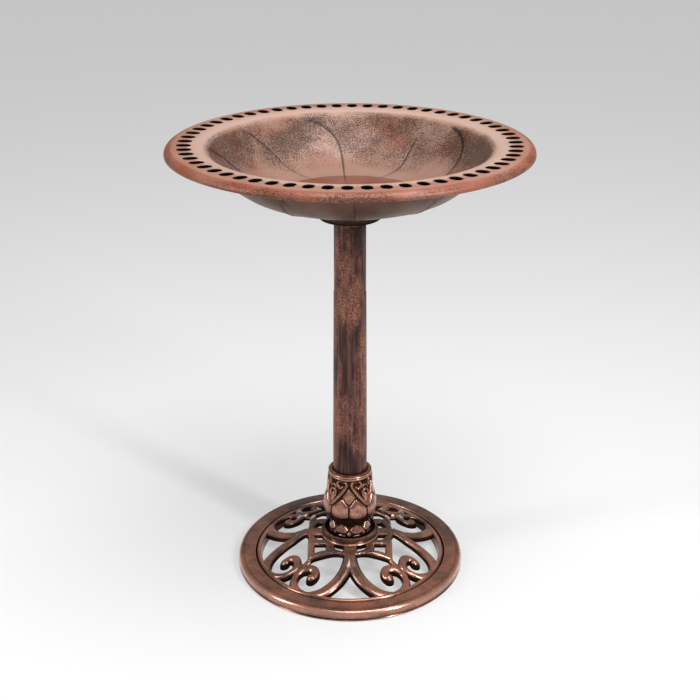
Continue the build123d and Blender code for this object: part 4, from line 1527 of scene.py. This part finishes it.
class BIRDBATH_OT_stage(bpy.types.Operator):
    """Adds the pale floor, the soft lights and the camera"""

    bl_idname = "birdbath.stage"
    bl_label = "Stage"

    def execute(self, context):
        half = FLOOR_HALF / MM
        corners = [(-half, -half, 0), (half, -half, 0), (half, half, 0), (-half, half, 0)]
        floor = mesh_piece("studio_floor", corners, [(0, 1, 2, 3)])
        p = Paint("Floor")
        soft = p.noise(3.0, 2.0)
        pale = p.ramp(soft, (0.3, colour_of("floor", 0.985)), (0.7, colour_of("floor")))
        p.give(Base_Color=pale, Roughness=0.9)
        p.give(Emission_Color=(1.0, 1.0, 1.0, 1.0), Emission_Strength=FLOOR_GLOW)
        floor.data.materials.append(p.material)
        world = bpy.data.worlds.new("Studio")
        world.use_nodes = True
        background = world.node_tree.nodes["Background"]
        background.inputs["Color"].default_value = (1.0, 1.0, 1.0, 1.0)
        background.inputs["Strength"].default_value = WORLD_LIGHT
        context.scene.world = world
        context.scene.view_settings.view_transform = "Standard"
        for name, place, aim, size, power in LIGHTS:
            area_light(name, place, aim, size, power)
        camera = bpy.data.cameras.new("camera")
        camera.lens = CAMERA_LENS
        camera.sensor_width = SENSOR
        camera.clip_end = 50
        rig = bpy.data.objects.new("camera", camera)
        rig.location = CAMERA_PLACE
        rig.rotation_euler = (math.radians(90 - CAMERA_PITCH), 0, 0)
        context.scene.collection.objects.link(rig)
        context.scene.camera = rig
        return {"FINISHED"}


# ---------------------------------------------------------------- panel and registration
class BIRDBATH_PT_panel(bpy.types.Panel):
    """Lists the pieces and their sizes and colours"""

    bl_idname = "BIRDBATH_PT_panel"
    bl_label = "Bird Bath"
    bl_space_type = "VIEW_3D"
    bl_region_type = "UI"
    bl_category = "Bird Bath"

    def draw(self, context):
        for operator in OPERATORS:
            self.layout.operator(operator.bl_idname)
        for group in (context.scene.bird_bath_sizes, context.scene.bird_bath_colours):
            box = self.layout.box()
            for name in group.__annotations__:
                box.prop(group, name)


OPERATORS = (
    BIRDBATH_OT_foot,
    BIRDBATH_OT_cup,
    BIRDBATH_OT_collar,
    BIRDBATH_OT_pole,
    BIRDBATH_OT_socket,
    BIRDBATH_OT_mount,
    BIRDBATH_OT_bowl,
    BIRDBATH_OT_fastenings,
    BIRDBATH_OT_stage,
)
CLASSES = (BirdBathSizes, BirdBathColours, *OPERATORS, BIRDBATH_PT_panel)


def register():
    for cls in CLASSES:
        bpy.utils.register_class(cls)
    bpy.types.Scene.bird_bath_sizes = PointerProperty(type=BirdBathSizes)
    bpy.types.Scene.bird_bath_colours = PointerProperty(type=BirdBathColours)


def unregister():
    del bpy.types.Scene.bird_bath_colours
    del bpy.types.Scene.bird_bath_sizes
    for cls in reversed(CLASSES):
        bpy.utils.unregister_class(cls)


def main():
    register()
    for operator in OPERATORS:
        group, name = operator.bl_idname.split(".")
        getattr(getattr(bpy.ops, group), name)()


if __name__ == "__main__":
    main()
